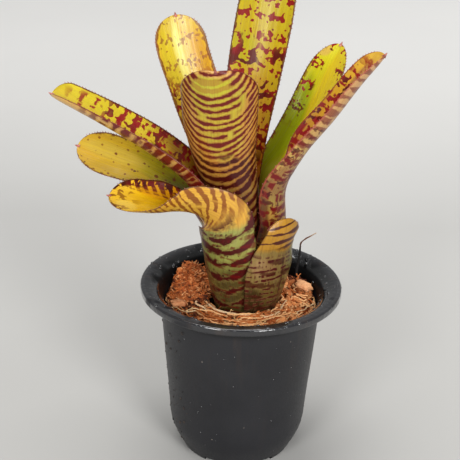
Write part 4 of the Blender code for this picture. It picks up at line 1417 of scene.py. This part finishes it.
def makeFibreTree():
    tree, given, wanted = newGroup("coirFibres", "GeometryNodeTree",
        [("Geometry", "Geometry", None), ("Density", "Float", 200000.0), ("Length", "Float", 0.006),
        ("Radius", "Float", 0.00015), ("Curl", "Float", 0.004), ("Rise", "Float", 0.35),
        ("Sides", "Int", 4), ("Centre", "Vector", None), ("Reach", "Float", 1.0), ("Lift", "Float", 0.0),
        ("Fan", "Float", math.pi), ("Tilt", "Float", 0.35), ("Darkest", "Float", 0.0),
        ("Lightest", "Float", 1.0), ("Seed", "Int", 0), ("Material", "Material", None)],
        [("Geometry", "Geometry")])
    points = scatterPoints(tree, given["Geometry"], given["Density"],
        given["Seed"], topSelection(tree, given["Centre"], given["Reach"]))
    line = put(tree, "GeometryNodeCurvePrimitiveLine", {"Start": (-0.5, 0.0, 0.0), "End": (0.5, 0.0, 0.0)})
    fine = put(tree, "GeometryNodeResampleCurve", {"Curve": line, "Count": 14})
    size = put(tree, "FunctionNodeRandomValue", {"Min": 0.35, "Max": 1.3, "Seed": 2}, data_type="FLOAT")
    # strands run along the rim, fanned out by a chosen angle
    home = split(put(tree, "GeometryNodeInputPosition"))
    course = calc("ARCTAN2", home[1], home[0]) + math.pi / 2
    fan = put(tree, "FunctionNodeRandomValue", {"Min": -1.0, "Max": 1.0, "Seed": 4}, data_type="FLOAT")
    tip = put(tree, "FunctionNodeRandomValue", {"Min": -1.0, "Max": 1.0, "Seed": 14}, data_type="FLOAT")
    lean = combine(0.0, outlet(tip) * given["Tilt"], course + outlet(fan) * given["Fan"])
    strands = put(tree, "GeometryNodeInstanceOnPoints",
        {"Points": points, "Instance": fine, "Rotation": put(tree, "FunctionNodeEulerToRotation",
        {"Euler": lean}), "Scale": size * given["Length"]})
    tint = put(tree, "FunctionNodeRandomValue", {
        "Min": given["Darkest"], "Max": given["Lightest"], "Seed": 6}, data_type="FLOAT")
    thick = put(tree, "FunctionNodeRandomValue", {"Min": 0.5, "Max": 1.6, "Seed": 7}, data_type="FLOAT")
    phase = put(tree, "FunctionNodeRandomValue", {"Min": (-9.0, -9.0, -9.0), "Max": (9.0, 9.0, 9.0),
        "Seed": 9}, data_type="FLOAT_VECTOR")
    item = strands
    for label, value, kind in (("tint", tint, "FLOAT"), ("thick", thick, "FLOAT"),
                               ("phase", phase, "FLOAT_VECTOR")):
        item = put(tree, "GeometryNodeStoreNamedAttribute", {
            "Geometry": item, "Name": label, "Value": value}, data_type=kind, domain="INSTANCE")
    real = put(tree, "GeometryNodeRealizeInstances", {"Geometry": item})
    spot = put(tree, "GeometryNodeInputPosition")
    own = put(tree, "GeometryNodeInputNamedAttribute", {"Name": "phase"}, data_type="FLOAT_VECTOR")
    bend = put(tree, "ShaderNodeTexNoise", {"Vector": spot * 210.0 + own, "Scale": 1.0, "Detail": 1.0})
    push = outlet(bend, "Color") - (0.5, 0.5, 0.42)
    push = push * combine(1.0, 1.0, given["Rise"])
    rise = combine(0.0, 0.0, given["Lift"])
    shift = push * given["Curl"] + rise
    moved = put(tree, "GeometryNodeSetPosition", {"Geometry": real, "Offset": shift})
    # nothing reaches the pot's wall
    held = split(put(tree, "GeometryNodeInputPosition"))
    level = combine(held[0], held[1], 0.0)
    squeeze = calc("MINIMUM", 1.0, 0.0392 / vectorCalc("LENGTH", level))
    inside = level * squeeze + combine(0.0, 0.0, held[2])
    moved = put(tree, "GeometryNodeSetPosition", {"Geometry": moved, "Position": inside})
    ring = put(tree, "GeometryNodeCurvePrimitiveCircle", {"Resolution": given["Sides"],
                                                          "Radius": given["Radius"]})
    width = put(tree, "GeometryNodeInputNamedAttribute", {"Name": "thick"}, data_type="FLOAT")
    sized = put(tree, "GeometryNodeSetCurveRadius", {"Curve": moved, "Radius": outlet(width)})
    tube = put(tree, "GeometryNodeCurveToMesh", {"Curve": sized, "Profile Curve": ring, "Fill Caps": True})
    done = put(tree, "GeometryNodeSetMaterial", {"Geometry": tube, "Material": given["Material"]})
    tree.links.new(outlet(done), wanted["Geometry"])
    return tree


def scatterOn(base, name, tree, values, slotName):
    item = newObject(name, base.data.copy())
    runTree(item, tree, values)
    placePiece(item, slotName)
    print("scatter", name, len(item.data.polygons), "faces")
    return item


# lengths in metres; tint runs from the darkest to the lightest tone of each material
mixCrumbs = {
    "coirCrumbs": {"Density": 420000.0, "Smallest": 0.0004, "Largest": 0.0014, "Darkest": -0.15,
                   "Lightest": 0.85},
    "moundCrumbs": {"Density": 900000.0, "Smallest": 0.0005, "Largest": 0.0016, "Darkest": 0.2,
                    "Lightest": 0.9,
                    "Centre": (-0.029, 0.015, 0.0), "Reach": 0.017, "Seed": 4},
    "huskPieces": {"Density": 60000.0, "Smallest": 0.0014, "Largest": 0.0030, "Darkest": 0.45,
                   "Lightest": 1.1,
                   "Jagged": 0.0022, "Centre": (0.030, -0.004, 0.0), "Reach": 0.022, "Seed": 9},
}
mixFibres = {
    "coirFibres": {"Density": 150000.0, "Length": 0.0085, "Radius": 0.00024, "Curl": 0.006, "Rise": 0.6,
                   "Tilt": 0.3, "Lightest": 0.9, "Seed": 5},
    "moundFibres": {"Density": 500000.0, "Length": 0.0050, "Radius": 0.00026, "Curl": 0.0035, "Tilt": 0.9,
                    "Lift": 0.0006, "Darkest": 0.15, "Lightest": 0.8, "Centre": (-0.029, 0.015, 0.0),
                    "Reach": 0.016, "Seed": 6},
    "rimShreds": {"Density": 110000.0, "Length": 0.0150, "Radius": 0.00042, "Curl": 0.0045, "Rise": 0.35,
                  "Fan": 0.42, "Tilt": 0.10, "Lift": 0.0010, "Darkest": 0.2, "Lightest": 1.05,
                  "Centre": (0.002, -0.030, 0.0), "Reach": 0.027, "Seed": 7},
    "paleShreds": {"Density": 90000.0, "Length": 0.0100, "Radius": 0.00045, "Curl": 0.0050, "Rise": 0.5,
                   "Fan": 0.8, "Tilt": 0.25, "Lift": 0.0010, "Darkest": 0.55, "Lightest": 1.15,
                   "Centre": (0.030, -0.006, 0.0), "Reach": 0.020, "Seed": 10},
    "darkStrands": {"Density": 120000.0, "Length": 0.0110, "Radius": 0.00040, "Curl": 0.0030, "Fan": 0.5,
                    "Tilt": 0.2, "Lift": 0.0008, "Darkest": -0.3, "Lightest": 0.3,
                    "Centre": (0.030, 0.022, 0.0), "Reach": 0.011, "Seed": 12},
}
mixThreads = {"Density": 7000.0, "Length": 0.015, "Radius": 0.00026, "Curl": 0.013, "Rise": 0.45,
    "Tilt": 0.1, "Lift": 0.0014, "Darkest": 0.4, "Lightest": 1.0, "Seed": 8}
crumbTree = makeCrumbTree()
fibreTree = makeFibreTree()
crumbMaterial = coirMaterial("coirCrumb", mixTones["crumb"])
fibreMaterial = coirMaterial("coirFibre", mixTones["fibre"])
threadMaterial = coirMaterial("coirThread", mixTones["thread"])
for label, sizes in mixCrumbs.items():
    scatterOn(mixBody, label, crumbTree, {"Seed": 3, "Material": crumbMaterial, **sizes}, "mix")
for label, sizes in mixFibres.items():
    scatterOn(mixBody, label, fibreTree, {"Material": fibreMaterial, **sizes}, "mix")
scatterOn(mixBody, "coirThreads", fibreTree, {"Material": threadMaterial, **mixThreads}, "mix")


# roots, husk chips and twig that have their own solids

pieceTones = {
    "root": ((150, 104, 66), (214, 176, 132), (242, 220, 186)),
    "chip": ((78, 36, 20), (164, 92, 52), (222, 166, 118)),
    "twig": ((14, 9, 7), (96, 56, 36), (190, 160, 130)),
}
roots = {
    "root_front": (-150, -74, 21.2, 22.5, 0.6, 0.6),
    "root_front_left": (-166, -136, 25.5, 27.0, 0.5, 1.2),
    "root_front_right": (-66, -8, 24.5, 22.5, 0.5, 1.0),
}


def tubeMesh(name, points, radius, sides=10, taper=1.0, rough=0.12, seed=0.0):
    # a round strand along points in millimetres, a little uneven, shut at both ends
    path = [Vector(p) for p in points]
    work = bmesh.new()
    rings = []
    up = Vector((0.0, 0.0, 1.0))
    for index, point in enumerate(path):
        before, after = path[max(index - 1, 0)], path[min(index + 1, len(path) - 1)]
        heading = (after - before).normalized()
        side = heading.cross(up).normalized()
        over = side.cross(heading)
        share = index / (len(path) - 1)
        ring = []
        for step in range(sides):
            angle = math.tau * step / sides
            swell = 1.0 + rough * noise.noise(Vector((point.x * 0.9, point.y * 0.9, step * 0.8 + seed)))
            reach = radius * (1 + (taper - 1) * share) * swell
            spot = point + side * (math.cos(angle) * reach) + over * (math.sin(angle) * reach)
            ring.append(work.verts.new(spot * mm))
        rings.append(ring)
    for first, second in zip(rings, rings[1:]):
        for step in range(sides):
            work.faces.new((first[step], first[(step + 1) % sides], second[(step + 1) % sides],
                second[step]))
    for ring, heading in ((rings[0], path[0] - path[1]), (rings[-1], path[-1] - path[-2])):
        cap = work.faces.new(ring)
        pulled = bmesh.ops.poke(work, faces=[cap])
        pulled["verts"][0].co += heading.normalized() * radius * 0.6 * mm
    bmesh.ops.recalc_face_normals(work, faces=work.faces)
    mesh = bpy.data.meshes.new(name)
    work.to_mesh(mesh)
    work.free()
    mesh.shade_smooth()
    return mesh


def finePath(points, count):
    knots = np.arange(len(points), dtype=float)
    return smoothCurve(knots, np.array(points, float), np.linspace(0, len(points) - 1, count))


def tintMesh(mesh, value):
    field = mesh.attributes.new("tint", "FLOAT", "POINT")
    field.data.foreach_set("value", np.full(len(mesh.vertices), value, np.float32))


def buildRoots():
    material = coirMaterial("paleRoot", pieceTones["root"])
    for name, (start, end, near, far, radius, wave) in roots.items():
        points = []
        for index in range(15):
            share = index / 14
            azimuth = math.radians(start + (end - start) * share)
            distance = near + (far - near) * share + wave * math.sin(share * math.tau)
            x = nest["axisX"] + distance * math.cos(azimuth)
            y = nest["axisY"] + distance * math.sin(azimuth)
            points.append((x, y, mixHeight(x, y) + radius + 0.9 + 0.5 * math.sin(share * math.pi)))
        path = finePath(points, 70)
        mesh = tubeMesh(name + "Strand", path, radius, taper=0.7, rough=0.5, seed=near)
        tintMesh(mesh, 0.62)
        mesh.materials.append(material)
        item = newObject(name + "Strand", mesh)
        placePiece(item, "root", name)


def buildChips():
    material = coirMaterial("huskChip", pieceTones["chip"])
    for number, name in enumerate(n for n in sorted(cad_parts) if n.startswith("husk_chip")):
        # the chip keeps its CAD block's place, broken into facets and pitted
        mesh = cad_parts[name].data.copy()
        mesh.name = name + "Piece"
        work = bmesh.new()
        work.from_mesh(mesh)
        bmesh.ops.remove_doubles(work, verts=work.verts, dist=0.00002)
        bmesh.ops.subdivide_edges(work, edges=work.edges, cuts=5, use_grid_fill=True)
        middle = sum((v.co for v in work.verts), Vector()) / len(work.verts)
        for vertex in work.verts:
            spot = vertex.co * 1000.0
            slow = noise.noise(spot * 0.55 + Vector((number * 3.1, 0.0, 0.0)))
            fine = noise.noise(spot * 2.2)
            vertex.co = middle + (vertex.co - middle) * (0.88 + 0.3 * slow + 0.14 * fine)
        work.to_mesh(mesh)
        work.free()
        mesh.shade_smooth()
        tintMesh(mesh, 0.35 + 0.12 * number)
        mesh.materials.clear()
        mesh.materials.append(material)
        item = newObject(name + "Piece", mesh)
        placePiece(item, "husk", name)


def buildTwig():
    foot = np.array((30.0, 22.0, mixHeight(30.0, 22.0) + 1.9))
    points = foot + np.array(((0.0, 0.0, 0.0), (2.0, 8.0, 10.5), (3.4, 15.0, 14.0), (11.0, 16.0, 19.0)))
    mesh = tubeMesh("huskTwigStrand", finePath(points, 50), 0.7, taper=0.35, rough=0.6)
    field = mesh.attributes.new("tint", "FLOAT", "POINT")
    field.data.foreach_set("value", np.array([np.interp(v.co.z / mm, (foot[2] + 8, foot[2] + 19),
        (-0.5, 1.0)) for v in mesh.vertices], np.float32))
    mesh.materials.append(coirMaterial("huskTwigBark", pieceTones["twig"]))
    placePiece(newObject("huskTwigStrand", mesh), "husk", "husk_twig")


buildRoots()
buildChips()
buildTwig()
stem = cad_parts["stem"]
stem.data.materials.clear()
stem.data.materials.append(coirMaterial("stemTissue", ((88, 66, 34), (150, 124, 66), (196, 176, 112))))
print("mix and small pieces done")


# floor, lights and camera

studio = {
    # floor tones are painted light and shade on plain paper: darker in front, bright towards the back
    "floorNearPaintedShade": (167, 166, 163), "floorMiddlePaintedShade": (181, 180, 177), "floorFarPaintedLight": (248, 247, 244),
    "worldColour": (0.99, 0.995, 1.0), "worldStrength": 0.32,
    "lights": (  # name, place, aim, width, height, power
        ("keySoftbox", (0.60, -1.12, 0.66), (0.0, 0.0, 0.14), 0.42, 0.8, 17.0),
        ("fillSoftbox", (-0.66, -1.20, 0.62), (0.0, 0.0, 0.14), 0.42, 0.8, 13.0),
        ("topSoftbox", (-0.15, 0.25, 1.4), (0.0, 0.0, 0.1), 0.9, 0.9, 16.0),
    ),
    "cameraPlace": (-6.5, -491.5, 342.3), "cameraDown": 23.9, "cameraRoll": 1.6, "lens": 82.25,
}


def buildStudio():
    mesh = bpy.data.meshes.new("studioFloor")
    work = bmesh.new()
    bmesh.ops.create_circle(work, cap_ends=True, segments=96, radius=6.0)
    work.to_mesh(mesh)
    work.free()
    floor = newObject("studioFloor", mesh)
    material, tree, shader = newMaterial("floorPaper")
    where = put(tree, "ShaderNodeTexCoord").outputs["Object"]
    cloud = grain(where, 3.0, 0.5, scale=3.0)
    # painted light and shade on the paper: darker in front of the plant, brighter towards the back and to the
    # right
    depth = split(where)[1]
    depth = depth + (cloud - 0.5) * 0.12
    paperAndPaintedFalloff = mixColour(ramp(depth, 0.0, 0.3), colourFrom(*studio["floorNearPaintedShade"]),
        colourFrom(*studio["floorMiddlePaintedShade"]))
    paperAndPaintedFalloff = mixColour(ramp(depth, 0.3, 1.2, smooth=False), paperAndPaintedFalloff, colourFrom(*studio["floorFarPaintedLight"]))
    aside = split(where)[0]
    side = ramp(aside, -0.05, 0.35, 1.0, 1.15, smooth=False)
    plug(tree, shader.inputs["Base Color"], paperAndPaintedFalloff * side)
    shader.inputs["Roughness"].default_value = 0.9
    shader.inputs["Specular IOR Level"].default_value = 0.1
    mesh.materials.append(material)
    world = bpy.data.worlds.new("studioWorld")
    bpy.context.scene.world = world
    world.use_nodes = True
    back = world.node_tree.nodes["Background"]
    back.inputs["Color"].default_value = (*studio["worldColour"], 1.0)
    back.inputs["Strength"].default_value = studio["worldStrength"]
    for name, place, aim, width, height, power in studio["lights"]:
        data = bpy.data.lights.new(name, "AREA")
        data.shape = "RECTANGLE"
        data.size = width
        data.size_y = height
        data.energy = power
        lamp = bpy.data.objects.new(name, data)
        bpy.context.scene.collection.objects.link(lamp)
        lamp.location = place
        lamp.rotation_euler = (Vector(aim) - Vector(place)).to_track_quat("-Z", "Y").to_euler()


def buildCamera():
    data = bpy.data.cameras.new("camera")
    data.lens = studio["lens"]
    data.sensor_width = 36.0
    data.clip_start = 0.01
    camera = bpy.data.objects.new("camera", data)
    bpy.context.scene.collection.objects.link(camera)
    tilt = Matrix.Rotation(math.radians(90 - studio["cameraDown"]), 4, "X")
    roll = Matrix.Rotation(math.radians(studio["cameraRoll"]), 4, "Z")
    place = Matrix.Translation(Vector(studio["cameraPlace"]) * mm)
    camera.matrix_world = place @ tilt @ roll
    bpy.context.scene.camera = camera


buildStudio()
buildCamera()
bpy.context.scene.view_settings.view_transform = "Standard"
print("studio done")
